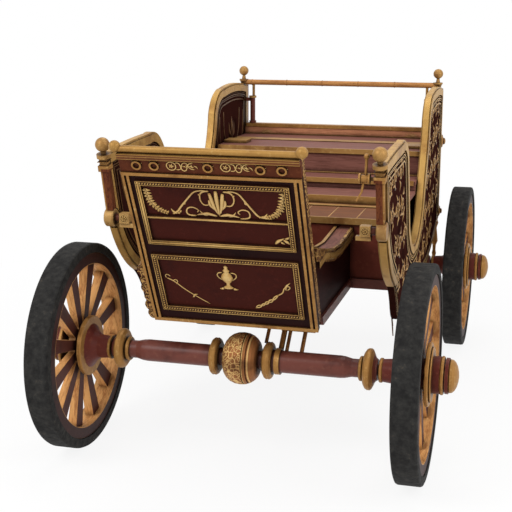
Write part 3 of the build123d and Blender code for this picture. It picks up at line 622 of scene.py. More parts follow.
# %% [markdown]
# The leaning board has ox-blood fields inside the frames, a near-black border and a red-brown
# frieze on top. Slope heights from the CAD frames say where each colour starts.
# %% Paint of the panel
COLOUR_FADE = 0.002
FIELD_HALF_WIDTH = (0.304, 0.306)
PANEL_FIELD = (PANEL_FOOT + frame_heights[0] * MM, PANEL_FOOT + frame_heights[-1] * MM)
PANEL_GAP = (PANEL_FOOT + frame_heights[3] * MM, PANEL_FOOT + frame_heights[4] * MM)
FRIEZE_FOOT = PANEL_FOOT + slope_heights("panel_strips")[-1] * MM
BORDER = (*tones((36, 14, 13), (24, 9, 9)), MAROONS[1])
FRIEZE_WOOD = tones((88, 44, 26), (62, 28, 18), (114, 64, 38))


def panel_finish():
    material, tree, vector = new_finish("panel_paint", 0.5, specular=0.05)
    height = dot(tree, vector, PANEL_UP)
    across = math_node(tree, "ABSOLUTE", split(tree, vector)["X"])
    inside = band(tree, height, *PANEL_FIELD, COLOUR_FADE)
    beside = inverted(tree, ramp(tree, across, *FIELD_HALF_WIDTH))
    inside = math_node(tree, "MULTIPLY", inside, beside)
    gap = band(tree, height, *PANEL_GAP, COLOUR_FADE)
    field = math_node(tree, "MULTIPLY", inside, inverted(tree, gap))
    frieze = ramp(tree, height, FRIEZE_FOOT, FRIEZE_FOOT + COLOUR_FADE)
    paint = uneven(tree, vector, MAROONS)
    border = uneven(tree, vector, BORDER)
    wood = uneven(tree, vector, FRIEZE_WOOD)
    colour = blend_colour(tree, field, border["Colour"], paint["Colour"])
    colour = blend_colour(tree, frieze, colour, wood["Colour"])
    coat = {"shade_and_grime": 0.8, "bump": 0.25, "depth": 0.0012, "rubbed": (GOLD_DARK, 0.4)}
    return last_coat(material, vector, colour, paint["Height"], **coat)


panel_finish()
print("frieze starts at", round((FRIEZE_FOOT - PANEL_FOOT) / MM), "mm up the slope")

# %% [markdown]
# The posts are red-brown with a gilded outer edge and head. The top rail is gilded too, with a
# brown moulding under it that two gold lines edge. Both follow the boxes of their CAD nodes.
# %% Posts and top rail
POST_EDGE = 0.014
POST_HEAD = 0.054
UNDER_RAIL = 0.020
RAIL_LINES = (0.001, 0.013)
POST_WOOD = tones((108, 58, 32), (66, 28, 18))
RAIL_GOLD = tones((162, 122, 64), (122, 82, 40), (192, 156, 96))
RAIL_BROWN = tones((104, 60, 34), (74, 40, 24), (132, 84, 48))


def post_finish(edge_x, head_z):
    material, tree, vector = new_finish("post_paint", 0.5, specular=0.08)
    parts = split(tree, vector)
    across = math_node(tree, "ABSOLUTE", parts["X"])
    beyond = ramp(tree, across, edge_x, edge_x + 0.0015)
    above = ramp(tree, parts["Z"], head_z, head_z + 0.001)
    wood = grained(tree, vector, (10.0, 10.0, 1.0), POST_WOOD)
    gold = uneven(tree, vector, GOLDS)
    gilded = math_node(tree, "MAXIMUM", beyond, above)
    colour = blend_colour(tree, gilded, wood["Colour"], gold["Colour"])
    return last_coat(material, vector, colour, wood["Height"], 0.9, 0.3, 0.0012)


def rail_finish(foot):
    material, tree, vector = new_finish("rail_gilt", 0.42, 0.25)
    height = dot(tree, vector, PANEL_UP)
    gilded = ramp(tree, height, foot + UNDER_RAIL, foot + UNDER_RAIL + 0.001)
    for middle in RAIL_LINES:
        line = line_at(tree, height, foot + middle, 0.0012, 0.002)
        gilded = math_node(tree, "MAXIMUM", gilded, line)
    gold = uneven(tree, vector, RAIL_GOLD)
    wood = uneven(tree, vector, RAIL_BROWN)
    colour = blend_colour(tree, gilded, wood["Colour"], gold["Colour"])
    return last_coat(material, vector, colour, gold["Height"], 0.8, 0.3, 0.0015)


post_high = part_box("front_posts")[1]
post_finish(post_high[0] - POST_EDGE, post_high[2] - POST_HEAD)
rail_finish(PANEL_FOOT + slope_heights("top_rail")[0] * MM)
print("post height:", round(post_high[2], 3))

# %% [markdown]
# Some nodes carry two paints. The box walls are dark at their sides and plum on top, chosen by
# the way a face looks, which partly paints light on the tops and shade on the sides. The seat
# tiers turn pale towards the back board, and the gilded scroll ends have a brown band across
# their shaft. A coordinate or the normal says which colour a spot takes.
# %% Two-colour finishes
LEDGE_FACES = 0.6
BACKBOARD_DEPTH = 0.06
SHAFT = (0.547, 0.569)
SHAFT_BROWN = tones((112, 62, 46), (72, 36, 28), (140, 88, 62))
SHAFT_GOLD = tones((172, 134, 80), (118, 78, 42), (206, 172, 114))


def split_paint(name, axis, edge, grain_scale, low_tones, high_tones):
    """Grained paint in two colours. axis is Y, or up for faces that look upwards."""
    material, tree, vector = new_finish(name, 0.5, specular=0.05)
    # By facing, upward faces take the second colour: partly painted light on tops, painted shade
    # on sides.
    if axis == "up":
        value = split(tree, object_normal(tree))["Z"]
    else:
        value = split(tree, vector)[axis]
    low = grained(tree, vector, grain_scale, low_tones)
    high = grained(tree, vector, grain_scale, high_tones)
    above = ramp(tree, value, edge, edge + 0.01)
    colour = blend_colour(tree, above, low["Colour"], high["Colour"])
    coat = {"shade_and_grime": 0.7, "bump": 0.3, "depth": 0.0015, "rubbed": (RUBBED_WOOD, 0.45)}
    return last_coat(material, vector, colour, low["Height"], **coat)


def banded_finish(name, low, high, band_tones, rest_tones):
    """A band of one colour across a gilded turned piece, between two distances."""
    material, tree, vector = new_finish(name, 0.45, 0.2)
    across = math_node(tree, "ABSOLUTE", split(tree, vector)["X"])
    in_band = band(tree, across, low, high, 0.001)
    gold = uneven(tree, vector, rest_tones)
    wood = uneven(tree, vector, band_tones)
    colour = blend_colour(tree, in_band, gold["Colour"], wood["Colour"])
    return last_coat(material, vector, colour, gold["Height"], 1.0, 0.4, 0.002)


banded_finish("scroll_gilt", *SHAFT, SHAFT_BROWN, SHAFT_GOLD)
# Near-black maroon sides and plum tops: partly paint, partly painted shade on the sides and
# painted light on the tops.
box_side_paint_and_shade = (MAROONS[1], tone(26, 9, 9))
ledge_plum_and_light = tones((132, 88, 76), (98, 60, 52))
split_paint("box_paint", "up", LEDGE_FACES, (8.0, 1.0, 8.0), box_side_paint_and_shade, ledge_plum_and_light)
backboard_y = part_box("rear_tiers")[1][1] - BACKBOARD_DEPTH
backboard = tones((210, 146, 108), (168, 110, 80))
split_paint("tier_paint", "Y", backboard_y, (0.6, 12.0, 12.0), (PLUM, PLUM_DARK), backboard)
print("back board starts at y", round(backboard_y, 3))

# %% [markdown]
# Boards and rails are wood. The grain follows the length of a board, so the pattern is squeezed
# along that axis by a small scale.
# %% Wood
BOARDS = (
    # name, picker colour, dark tone, scale of the grain along x, y and z
    ("seat_boards", (122, 74, 42), (88, 50, 30), (0.6, 12.0, 12.0)),
    ("rail_wood", (188, 134, 78), (146, 94, 52), (1.0, 12.0, 12.0)),
    ("floor_wood", (112, 66, 46), (70, 38, 30), (8.0, 1.0, 8.0)),
)


def board_finish(name, colour, dark, scale):
    material, tree, vector = new_finish(name, 0.55)
    grain = grained(tree, vector, scale, tones(colour, dark))
    coat = {"shade_and_grime": 0.7, "bump": 0.3, "depth": 0.0015, "rubbed": (RUBBED_WOOD, 0.5)}
    return last_coat(material, vector, grain["Colour"], grain["Height"], **coat)


for board in BOARDS:
    board_finish(*board)
print("boards:", len(BOARDS))

# %% [markdown]
# On a wheel the grain runs from hub to rim, so the place is turned into a radius and an angle
# round the wheel's own axle first. The flat sides of spokes and felloe are painted and their
# other faces are bare wood, so the normal chooses. Bare wood also edges the felloe inside.
# %% Wood of the wheels
SIDE_FACES = (0.6, 0.75)
RIM_EDGE = (0.004, 0.009)


def joined_vector(tree, x, y, z):
    return add_node(tree, "ShaderNodeCombineXYZ", {0: x, 1: y, 2: z}).outputs[0]


def wheel_wood(name, y0, z0, along, around, side_colour, bare_to=None):
    """Bare wood with painted sides round an axle at y0, z0. The paint starts at bare_to."""
    material, tree, vector = new_finish(name, 0.52)
    parts = split(tree, vector)
    y = math_node(tree, "SUBTRACT", parts["Y"], y0)
    z = math_node(tree, "SUBTRACT", parts["Z"], z0)
    y_square = math_node(tree, "MULTIPLY", y, y)
    square = math_node(tree, "ADD", y_square, math_node(tree, "MULTIPLY", z, z))
    radius = math_node(tree, "SQRT", square)
    pattern = joined_vector(
        tree,
        math_node(tree, "MULTIPLY", parts["X"], 6.0),
        math_node(tree, "MULTIPLY", radius, along),
        math_node(tree, "MULTIPLY", math_node(tree, "ARCTAN2", z, y), around),
    )
    grain = placed(tree, GRAIN, Vector=pattern, Colour=WOOD, Dark=WOOD_DARK)
    paint = uneven(tree, vector, tones(side_colour, (30, 13, 11), (84, 42, 34)))
    facing = math_node(tree, "ABSOLUTE", split(tree, object_normal(tree))["X"])
    painted = ramp(tree, facing, *SIDE_FACES)
    if bare_to:
        edge = inverted(tree, ramp(tree, radius, *(bare_to + gap for gap in RIM_EDGE)))
        painted = math_node(tree, "SUBTRACT", painted, edge)
        painted = math_node(tree, "MAXIMUM", painted, 0.0)
    colour = blend_colour(tree, painted, grain["Colour"], paint["Colour"])
    coat = {"shade_and_grime": 0.5, "bump": 0.3, "depth": 0.0015, "rubbed": (WOOD, 0.5)}
    return last_coat(material, vector, colour, grain["Height"], **coat)


for end in ("front", "rear"):
    low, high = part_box(f"hub_{end}_left")
    axle_place = ((low[1] + high[1]) / 2, (low[2] + high[2]) / 2)
    rim_low, rim_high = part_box(f"spokes_{end}_left")
    rim = (rim_high[2] - rim_low[2]) / 2
    wheel_wood(f"spoke_wood_{end}", *axle_place, 0.6, 3.0, (76, 40, 32))
    wheel_wood(f"felloe_wood_{end}", *axle_place, 8.0, 0.5, (48, 20, 16), rim)
print("wheel woods ready, last rim radius:", round(rim, 3))

# %% [markdown]
# The tyre is a broad worn band. Its tread is grey-black with dents and rust-brown scuffs,
# and its inner edge runs into the painted felloe.
# %% Tyre


def tyre_finish():
    material, tree, vector = new_finish("worn_tyre", 0.78)
    patches = noise(tree, vector, scale=30.0, detail=8.0, rough=0.72)
    specks = noise(tree, vector, scale=120.0, detail=4.0, rough=0.7)
    colour = blend_colour(tree, ramp(tree, patches, 0.30, 0.74), IRON_DARK, IRON)
    rough_spots = ramp(tree, patches, 0.58, 0.76)
    scuffs = math_node(tree, "MULTIPLY", rough_spots, ramp(tree, specks, 0.42, 0.66))
    colour = blend_colour(tree, scuffs, colour, SCUFF)
    cells = add_node(tree, "ShaderNodeTexVoronoi", {"Scale": 46.0, "Vector": vector})
    patches = math_node(tree, "MULTIPLY", patches, 1.2)
    height = math_node(tree, "ADD", patches, cells.outputs["Distance"])
    dents = {"Strength": 0.5, "Distance": 0.004, "Height": height}
    normal = add_node(tree, "ShaderNodeBump", dents).outputs["Normal"]
    fill(tree, tree.nodes["Principled BSDF"], {"Base Color": colour, "Normal": normal})
    return material


tyre_finish()
print("finishes:", len(FINISHES))

# %% [markdown]
# Now each CAD node takes its finish. A short table lists the nodes that wear each one, and the
# wheels get their own woods, because their grain turns round their own axles.
# %% Dress the CAD nodes
WORN_BY = {
    "panel_paint": "front_panel",
    "carved_wood": "panel_cheeks box_moulding",
    "gilt": "panel_strips frieze_rings back_rail rear_drops reel_lever rear_axle_collars "
    "front_axle_collars strut_fittings",
    "frame_shaded_ground": "panel_frames",
    "rail_gilt": "top_rail",
    "floor_wood": "floor_front floor_rear",
    "box_paint": "box_walls",
    "pale_gilt": "ledge_strips seat_strips finials",
    "riser_paint": "seat_riser",
    "axle_paint": "base_moulding rear_posts rear_axle_beam front_axle_beam",
    "seat_boards": "seat_deck",
    "tier_paint": "rear_tiers",
    "maroon_paint": "back_wall",
    "side_paint": "side_panel_left side_panel_right",
    "wing_gilt": "wing_moulding_left wing_moulding_right",
    "scroll_gilt": "scroll_ends",
    "post_paint": "front_posts",
    "rail_wood": "rear_rail bolster wheel_plate",
    "dark_paint": "rear_hangers",
    "ball_finish": "axle_ball",
    "brown_gilt": "king_pin struts",
}


def dress(name, finish):
    slots = nodes[name].data.materials
    slots.clear()
    slots.append(FINISHES[finish])


for finish, wearers in WORN_BY.items():
    for name in wearers.split():
        dress(name, finish)
for end in ("front", "rear"):
    for side in ("left", "right"):
        dress(f"tyre_{end}_{side}", "worn_tyre")
        dress(f"felloe_{end}_{side}", f"felloe_wood_{end}")
        dress(f"spokes_{end}_{side}", f"spoke_wood_{end}")
        dress(f"hub_{end}_{side}", "hub_paint")
        dress(f"hub_trim_{end}_{side}", "gilt")
print("dressed nodes:", len(nodes))

# %% [markdown]
# Carved ornament is mostly stems, leaves and beads. A stem here is a smooth curve through a few
# places, with a radius at each, turned into a mesh and pressed flat on the face that carries it.
# All the stems of one place join into one mesh, because hundreds of separate objects would be
# slow to handle. A straight bar is the shortest stem.
# %% Stems


def stem(shape, place, points, radii, flat=0.7, closed=False, steps=5):
    """Adds one stem to a bmesh. Points are millimetres on the face that place describes."""
    data = bpy.data.curves.new("stem", "CURVE")
    data.dimensions = "3D"
    data.bevel_depth = 1.0
    data.bevel_resolution = 1
    data.resolution_u = steps
    data.use_fill_caps = not closed
    line = data.splines.new("NURBS" if len(points) > 2 else "POLY")
    line.points.add(len(points) - 1)
    for point, spot, radius in zip(line.points, points, radii):
        point.co = (spot[0] * MM, spot[1] * MM, 0.0, 1.0)
        point.radius = radius * MM
    if len(points) > 2:
        line.order_u = 3
        line.use_endpoint_u = not closed
        line.use_cyclic_u = closed
    holder = bpy.data.objects.new("stem", data)
    mesh = bpy.data.meshes.new_from_object(holder)
    mesh.transform(place @ Matrix.Diagonal((1, 1, flat, 1)))
    shape.from_mesh(mesh)
    bpy.data.meshes.remove(mesh)
    bpy.data.objects.remove(holder)
    bpy.data.curves.remove(data)


def tapered(shape, place, points, thick, thin, flat=0.9):
    """A stem whose radius changes evenly from its start to its end."""
    step = (thin - thick) / (len(points) - 1)
    stem(shape, place, points, [thick + step * i for i in range(len(points))], flat)


def bar(shape, place, start, end, radius, flat=0.6):
    stem(shape, place, [start, end], [radius, radius], flat, steps=1)


def spot_at(centre, reach, angle):
    """The place at a distance and an angle from a centre, on the same face."""
    return centre[0] + reach * math.cos(angle), centre[1] + reach * math.sin(angle)


def ring(shape, place, centre, reach, radius, count=8, flat=0.9):
    """A stem that closes into a circle."""
    circle = [spot_at(centre, reach, i * math.tau / count) for i in range(count)]
    stem(shape, place, circle, [radius] * count, flat, closed=True)


print("stems ready")

# %% [markdown]
# Beads are copies of one small ball, moved and stretched, because copying a mesh is far quicker
# than running the sphere operator each time. A rope is a row of beads that all lean one way.
# %% Beads
ROPE_PITCH = 11.5
ROPE_LEAN = math.radians(48)
ROPE_BEAD = (13.0, 7.0, 4.5)


def add_copy(shape, mesh, matrix):
    copy = mesh.copy()
    copy.transform(matrix)
    shape.from_mesh(copy)
    bpy.data.meshes.remove(copy)


def bead(shape, place, spot, length, width, height, angle=0.0):
    """A long bead, turned by an angle on its face."""
    at = Matrix.Translation((spot[0] * MM, spot[1] * MM, 0))
    size = Matrix.Diagonal((length * MM / 2, width * MM / 2, height * MM, 1))
    add_copy(shape, BEAD, place @ at @ Matrix.Rotation(angle, 4, "Z") @ size)


def rope(shape, place, start, end):
    """Equal leaning beads along a line."""
    run = end - start
    count = max(2, round(run.length / ROPE_PITCH))
    angle = math.atan2(run.y, run.x) + ROPE_LEAN
    for i in range(count):
        bead(shape, place, start + run * ((i + 0.5) / count), *ROPE_BEAD, angle)


ball = bmesh.new()
bmesh.ops.create_uvsphere(ball, u_segments=6, v_segments=4, radius=1.0)
BEAD = bpy.data.meshes.new("bead")
ball.to_mesh(BEAD)
ball.free()
print("faces of a bead:", len(BEAD.polygons))

# %% [markdown]
# A leaf is a short stem with a thick middle and a fine tip. A volute is a stem that winds into a
# spiral, with a bud in its eye and leaves on its back. Carvers build foliage from these two.
# %% Leaves and volutes
VOLUTE_TURNS = 1.5
VOLUTE_STEM = 6.5
EYE_SHARE = 0.24
BUD_SHARE = 0.34
THINNING = 0.55
LEAF_STEP = 1.25
LEAF_LEAN = 0.7
LEAF_REACHES = (0.86, 1.42)


def leaf(shape, place, root, tip, width, bend=0.0, flat=0.8):
    """A pointed leaf from its root to its tip, bent to its left."""
    root, tip = Vector(root), Vector(tip)
    side = Vector((root.y - tip.y, tip.x - root.x)) * bend
    points = [root, root.lerp(tip, 0.2) + side * 0.5, root.lerp(tip, 0.5) + side, tip]
    stem(shape, place, points, [width * share for share in (0.2, 0.5, 0.55, 0.08)], flat)


def leaf_ring(shape, place, centre, count, reaches, width, turn=0.0, bend=0.0, flat=0.8):
    """Leaves round a centre between two reaches, each tip turned on by an angle."""
    for i in range(count):
        angle = i * math.tau / count
        root = spot_at(centre, reaches[0], angle)
        tip = spot_at(centre, reaches[1], angle + turn)
        leaf(shape, place, root, tip, width, bend, flat)


def volute(shape, place, centre, outer, start, hand, leaves):
    """A spiral stem with a bud in its eye and leaves on its back."""
    count = round(VOLUTE_TURNS * 8) + 1
    points = []
    radii = []
    for i in range(count):
        share = i / (count - 1)
        angle = start + hand * VOLUTE_TURNS * math.tau * share
        points.append(spot_at(centre, outer * EYE_SHARE**share, angle))
        radii.append(VOLUTE_STEM * (1.0 - THINNING * share))
    stem(shape, place, points, radii, 0.8, steps=3)
    bead(shape, place, centre, outer * BUD_SHARE, outer * BUD_SHARE, VOLUTE_STEM)
    for i in range(leaves):
        angle = start + hand * (0.35 + i * LEAF_STEP)
        ends = []
        for turn, reach in zip((angle, angle + hand * LEAF_LEAN), LEAF_REACHES):
            way = Vector((math.cos(turn), math.sin(turn)))
            ends.append(Vector(centre) + way * outer * reach)
        leaf(shape, place, *ends, VOLUTE_STEM * 2.4, bend=0.2 * hand)


print("leaves and volutes ready")

# %% [markdown]
# Each carving lies on a face of the carriage. Two helpers place such a face: one looks along
# the axles and one along the way of travel. A last helper closes a carving: it merges double
# points, turns the faces outwards and lets the object ride on the body that carries it.
# %% Faces and pieces


def on_side(x, out, y=0.0, z=0.0):
    """A face that looks along x: its axes run backwards, up and out."""
    return Matrix(((0, 0, out, x), (1, 0, 0, y), (0, 1, 0, z), (0, 0, 0, 1)))


def on_front(y, out, x=0.0, z=0.0):
    """A face that looks along y: its axes run across, up and out."""
    return Matrix(((1, 0, 0, x), (0, 0, out, y), (0, 1, 0, z), (0, 0, 0, 1)))


def finish_piece(shape, name, finish, body="body", smooth=True):
    """Closes a carving and makes the object that rides on a body."""
    bmesh.ops.remove_doubles(shape, verts=shape.verts, dist=1e-6)
    bmesh.ops.recalc_face_normals(shape, faces=shape.faces)
    mesh = bpy.data.meshes.new(name)
    shape.to_mesh(mesh)
    shape.free()
    if smooth:
        mesh.shade_smooth()
    mesh.materials.append(FINISHES[finish])
    piece = bpy.data.objects.new(name, mesh)
    bpy.context.scene.collection.objects.link(piece)
    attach(piece, body)
    print(name, "faces:", len(mesh.polygons))
    return mesh


print("face helpers ready")

# %% [markdown]
# The leaning panel carries two frames. On the real object each bar is a carved rope between two
# thin rails, so rails run along both edges of every bar and tilted beads fill the space between.
# The bar under the upper frame and the divider are plain half-rounds. The bars themselves come
# from the CAD node, so their heights up the slope are read from its vertices.
# %% Frames of the panel
EDGE_RAIL = 2.4
BAR_SINK = 0.5
CORNER_GAP = 2.5
PLAIN_GAP = 5.0
DIVIDER_GAP = 20
DIVIDER_RADIUS = 6.2


def bar_reach():
    """Half width of the frames and how far their bars stand out, in millimetres."""
    into_panel = panel_place.inverted()
    spots = [into_panel @ vertex.co for vertex in nodes["panel_frames"].data.vertices]
    return max(spot.x for spot in spots) / MM, max(spot.z for spot in spots) / MM


half, bar_top = bar_reach()
on_bars = panel_place @ Matrix.Translation((0, 0, (bar_top - BAR_SINK) * MM))
carving = bmesh.new()
for first, last, inner, plain in ((0, 3, 1, False), (4, 9, 5, True)):
    inset = (frame_heights[inner] - frame_heights[first]) / 2
    foot = frame_heights[first] + inset
    head = frame_heights[last] - inset
    edge = half - inset
    for start, end, smooth_bar in (
        ((-edge, head), (edge, head), False),
        ((-edge, foot), (edge, foot), plain),
        ((-edge, foot), (-edge, head), plain),
        ((edge, foot), (edge, head), False),
    ):
        start, end = Vector(start), Vector(end)
        along = (end - start).normalized()
        start = start - along * (inset - CORNER_GAP)
        end = end + along * (inset - CORNER_GAP)
        for way in (-1, 1):
            shift = Vector((-along.y, along.x)) * (inset - EDGE_RAIL) * way
            bar(carving, on_bars, start + shift, end + shift, EDGE_RAIL, 0.9)
        if smooth_bar:
            bar(carving, on_bars, start, end, inset - PLAIN_GAP, 0.5)
        else:
            rope(carving, on_bars, start, end)
divider = (frame_heights[6] + frame_heights[7]) / 2
reach = half - DIVIDER_GAP
bar(carving, on_bars, (-reach, divider), (reach, divider), DIVIDER_RADIUS, 0.6)
finish_piece(carving, "frame_carving", "carved_gold")

# %% [markdown]
# A palmette stands in the middle of the upper frame between two C-scrolls, and long stems swing
# from it to leafy drops in the corners. The places are millimetres across the panel and up its
# slope, laid out against the photograph.
# %% Upper ornament
PALMETTE = (
    # points of a lobe from the foot to its round top, radii along it
    (((9, 596), (-8, 614), (-20, 632), (-18, 652)), (2.5, 6.5, 9.0, 5.5)),
    (((17, 596), (34, 614), (46, 632), (44, 652)), (2.5, 6.5, 9.0, 5.5)),
    (((10, 582), (-2, 616), (-8, 652), (-14, 685)), (2.5, 9.0, 12.0, 8.0)),
    (((16, 582), (28, 616), (34, 652), (40, 685)), (2.5, 9.0, 12.0, 8.0)),
    (((13, 574), (13, 616), (12, 660), (13, 697)), (3.0, 9.0, 13.0, 8.0)),
)
UPPER_STEMS = (
    # points of a stem across and up, radius at its start, radius at its end
    (((-14, 694), (-36, 694), (-54, 676), (-54, 640), (-34, 620), (-15, 634)), 6.0, 3.2),
    (((44, 694), (66, 694), (82, 676), (82, 644), (62, 620), (38, 630)), 6.0, 3.2),
    (((-20, 694), (-66, 700), (-104, 654), (-144, 606), (-152, 590), (-175, 578)), 4.6, 6.2),
    (((52, 694), (96, 702), (126, 650), (158, 598), (176, 577), (224, 577)), 4.6, 6.2),
    (((-80, 574), (-118, 570), (-118, 606), (-90, 616), (-62, 598), (-76, 590)), 5.4, 3.0),
    (((96, 568), (136, 566), (138, 606), (108, 614), (84, 596), (98, 588)), 5.4, 3.0),
)
UPPER_LEAVES = (
    # root, tip, width, bend
    ((4, 574), (-84, 574), 17, -0.16),
    ((14, 574), (100, 570), 17, 0.16),
    ((-30, 576), (-66, 600), 11, 0.2),
    ((48, 574), (82, 598), 11, -0.2),
    ((-150, 584), (-182, 600), 15, 0.3),
    ((176, 582), (206, 598), 15, -0.3),
    ((-140, 596), (-152, 576), 12, 0.0),
    ((-118, 640), (-136, 622), 10, 0.3),
    ((122, 652), (142, 634), 10, -0.3),
)
CORNER_DROPS = (
    # points from the frame's corner to the foot of the drop
    ((-272, 694), (-268, 652), (-254, 616), (-226, 590), (-196, 578)),
    ((282, 700), (272, 652), (258, 614), (234, 588), (206, 578)),
)
DROP_RADII = (7.0, 6.5, 6.0, 5.0, 4.0)
DROP_SPREADS = (21, 18, 15, 12)
UPPER_BUDS = ((-150, 584), (176, 582), (-54, 676), (82, 676))
ornament = bmesh.new()
for points, radii in PALMETTE:
    stem(ornament, panel_place, points, radii, 0.6)
for leaf_shape in UPPER_LEAVES:
    leaf(ornament, panel_place, *leaf_shape, flat=0.6)
for stem_shape in UPPER_STEMS:
    tapered(ornament, panel_place, *stem_shape)
for drop in CORNER_DROPS:
    spots = [Vector(point) for point in drop]
    stem(ornament, panel_place, spots, DROP_RADII, 0.6)
    for first, second, spread in zip(spots, spots[1:], DROP_SPREADS):
        forward = (second - first).normalized()
        side = Vector((forward.y, -forward.x)) * spread
        for i in range(3):
            root = first.lerp(second, i / 3)
            for way in (-1, 1):
                tip = root + side * way + forward * 11
                leaf(ornament, panel_place, root, tip, 15, 0.2 * way, flat=0.6)
            bead(ornament, panel_place, root + forward * 6, 10, 12, 8)
for spot in UPPER_BUDS:
    bead(ornament, panel_place, spot, 15, 13, 7)
finish_piece(ornament, "upper_ornament", "bright_gold")

# %% [markdown]
# Turned shapes, such as an urn or a boss, are one outline that is spun a full turn about its
# axis. The spin operator does it, merges the last step with the first, and the open ends are
# filled, so the shape is closed.
# %% Turned shapes


def add_turned(shape, outline, axis, steps, matrix):
    """Spins an outline a full turn about an axis and adds a moved copy of it."""
    turned = bmesh.new()
    verts = [turned.verts.new([value * MM for value in spot]) for spot in outline]
    for pair in zip(verts, verts[1:]):
        turned.edges.new(pair)
    profile = turned.verts[:] + turned.edges[:]
    turn = {"cent": (0, 0, 0), "axis": axis, "angle": math.tau, "steps": steps}
    bmesh.ops.spin(turned, geom=profile, use_merge=True, **turn)
    ends = [edge for edge in turned.edges if edge.is_boundary]
    bmesh.ops.holes_fill(turned, edges=ends, sides=steps)
    mesh = bpy.data.meshes.new("turned")
    turned.to_mesh(mesh)
    turned.free()
    add_copy(shape, mesh, matrix)
    bpy.data.meshes.remove(mesh)


print("turned shapes ready")

# %% [markdown]
# The lower frame holds a small two-handled urn, a wand and a twisted ribbon, and a three-leaf
# sprig sits in the corner of the upper frame. The urn is a turned shape, pressed flat on the
# panel, and its handles are stems.
# %% Lower ornament
URN_FOOT = (0.0, 208.0)
URN_SIZE = (0.9, 0.9, 0.42, 1)
URN_RADII = (26, 24, 10, 9, 24, 31, 24, 12, 17, 17, 8, 11, 2)
URN_HEIGHTS = (0, 8, 14, 26, 44, 62, 80, 92, 98, 104, 112, 122, 132)
LOWER_STEMS = (
    # points across and up, radius at its start, radius at its end
    (((-18, 288), (-41, 288), (-39, 258), (-16, 248)), 3.8, 3.2),
    (((18, 288), (41, 288), (39, 258), (16, 248)), 3.8, 3.2),
    (((-262, 240), (-238, 232), (-200, 190), (-156, 154), (-94, 112)), 4.0, 2.6),
    (((-262, 240), (-270, 252), (-256, 262), (-246, 250)), 3.4, 2.6),
    (((-240, 226), (-226, 236), (-214, 224), (-226, 210)), 3.2, 2.4),
    (
        ((103, 109), (126, 112), (132, 136), (158, 132), (164, 160), (190, 158), (204, 186)),
        4.2,
        4.6,
    ),
    (
        ((103, 109), (112, 128), (140, 120), (148, 150), (176, 142), (184, 176), (204, 186)),
        3.4,
        4.2,
    ),
    (((204, 186), (226, 196), (232, 226), (252, 240), (262, 228), (246, 216)), 4.6, 3.2),
)
LOWER_LEAVES = (
    # root, tip, width, bend
    ((-160, 150), (-140, 160), 10, 0.2),
    ((-158, 156), (-166, 140), 10, 0.2),
    ((240, 214), (262, 256), 12, 0.2),
    ((-18, 208), (-40, 200), 14, 0.1),
    ((18, 208), (40, 200), 14, -0.1),
    ((222, 452), (262, 482), 17, 0.12),
    ((262, 480), (292, 498), 12, -0.12),
    ((256, 474), (290, 448), 17, 0.12),
    ((244, 466), (262, 452), 12, 0.0),
)
urn_place = Matrix.Translation((URN_FOOT[0] * MM, URN_FOOT[1] * MM, 0))
urn_place = panel_place @ urn_place @ Matrix.Diagonal(URN_SIZE)
ornament = bmesh.new()
outline = [(radius, height, 0) for radius, height in zip(URN_RADII, URN_HEIGHTS)]
add_turned(ornament, outline, (0, 1, 0), 14, urn_place)
for stem_shape in LOWER_STEMS:
    tapered(ornament, panel_place, *stem_shape)
for leaf_shape in LOWER_LEAVES:
    leaf(ornament, panel_place, *leaf_shape)
finish_piece(ornament, "lower_ornament", "bright_gold")

# %% [markdown]
# The frieze under the top rail has plain rings from the CAD model, and between them two groups
# of pierced scrolls: a ring with a flower in it and two S-shaped stems with curled leaves. Small
# leaves stand round the CAD rings.
# %% Frieze scrolls
SCROLL_RINGS = ((-145.0, 803.0), (69.0, 806.0))
WAVES = (
    # points of a stem from the middle of the ring, radius
    (((18, 14), (34, 22), (40, -20), (60, -20), (66, 16), (88, 18)), 3.6),
    (((18, -14), (36, -20), (44, 16), (64, 18), (72, -14), (92, -12)), 3.0),
)
STAR_SHARES = (-0.80, -0.60, 0.0, 0.57, 0.80)
STAR_UP = 804
frieze = bmesh.new()
for x, s in SCROLL_RINGS:
    ring(frieze, panel_place, (x, s), 20.0, 3.4)
    leaf_ring(frieze, panel_place, (x, s), 5, (0, 13), 8)
    for points, radius in WAVES:
        wave = [(x + across, s + up) for across, up in points]
        tapered(frieze, panel_place, wave, radius, radius)
    for reach, rise in ((46, 0), (70, 2), (90, 4)):
        high, low = (x + reach, s + rise), (x + reach, s - rise)
        leaf(frieze, panel_place, high, (x + reach + 14, s - rise - 8), 8, 0.3)
        leaf(frieze, panel_place, low, (x + reach - 10, s + rise + 9), 8, 0.3)
for share in STAR_SHARES:
    star = (share * (half + 50.0), STAR_UP)
    leaf_ring(frieze, panel_place, star, 6, (17, 25), 5, turn=0.3, bend=0.2)
finish_piece(frieze, "frieze_scrolls", "bright_gold")

# %% [markdown]
# The sides are dark boards edged by nested gilded lines and a row of beads. Each line follows
# the outline of the board, so it is made from the CAD side itself: a merged copy of its face is
# inset again and again, and every second ring is extruded into a raised line. A CAD node's mesh
# is loose triangles, so the copy is merged and its flat triangles dissolved before the insets.
# %% Flat faces
MERGE_GAP = 1e-5
FLAT_ANGLE = 0.01


def merged_copy(name):
    """A bmesh of a CAD node whose loose triangles are merged at their shared points."""
    shape = bmesh.new()
    shape.from_mesh(nodes[name].data)
    bmesh.ops.remove_doubles(shape, verts=shape.verts, dist=MERGE_GAP)
    shape.normal_update()
    return shape


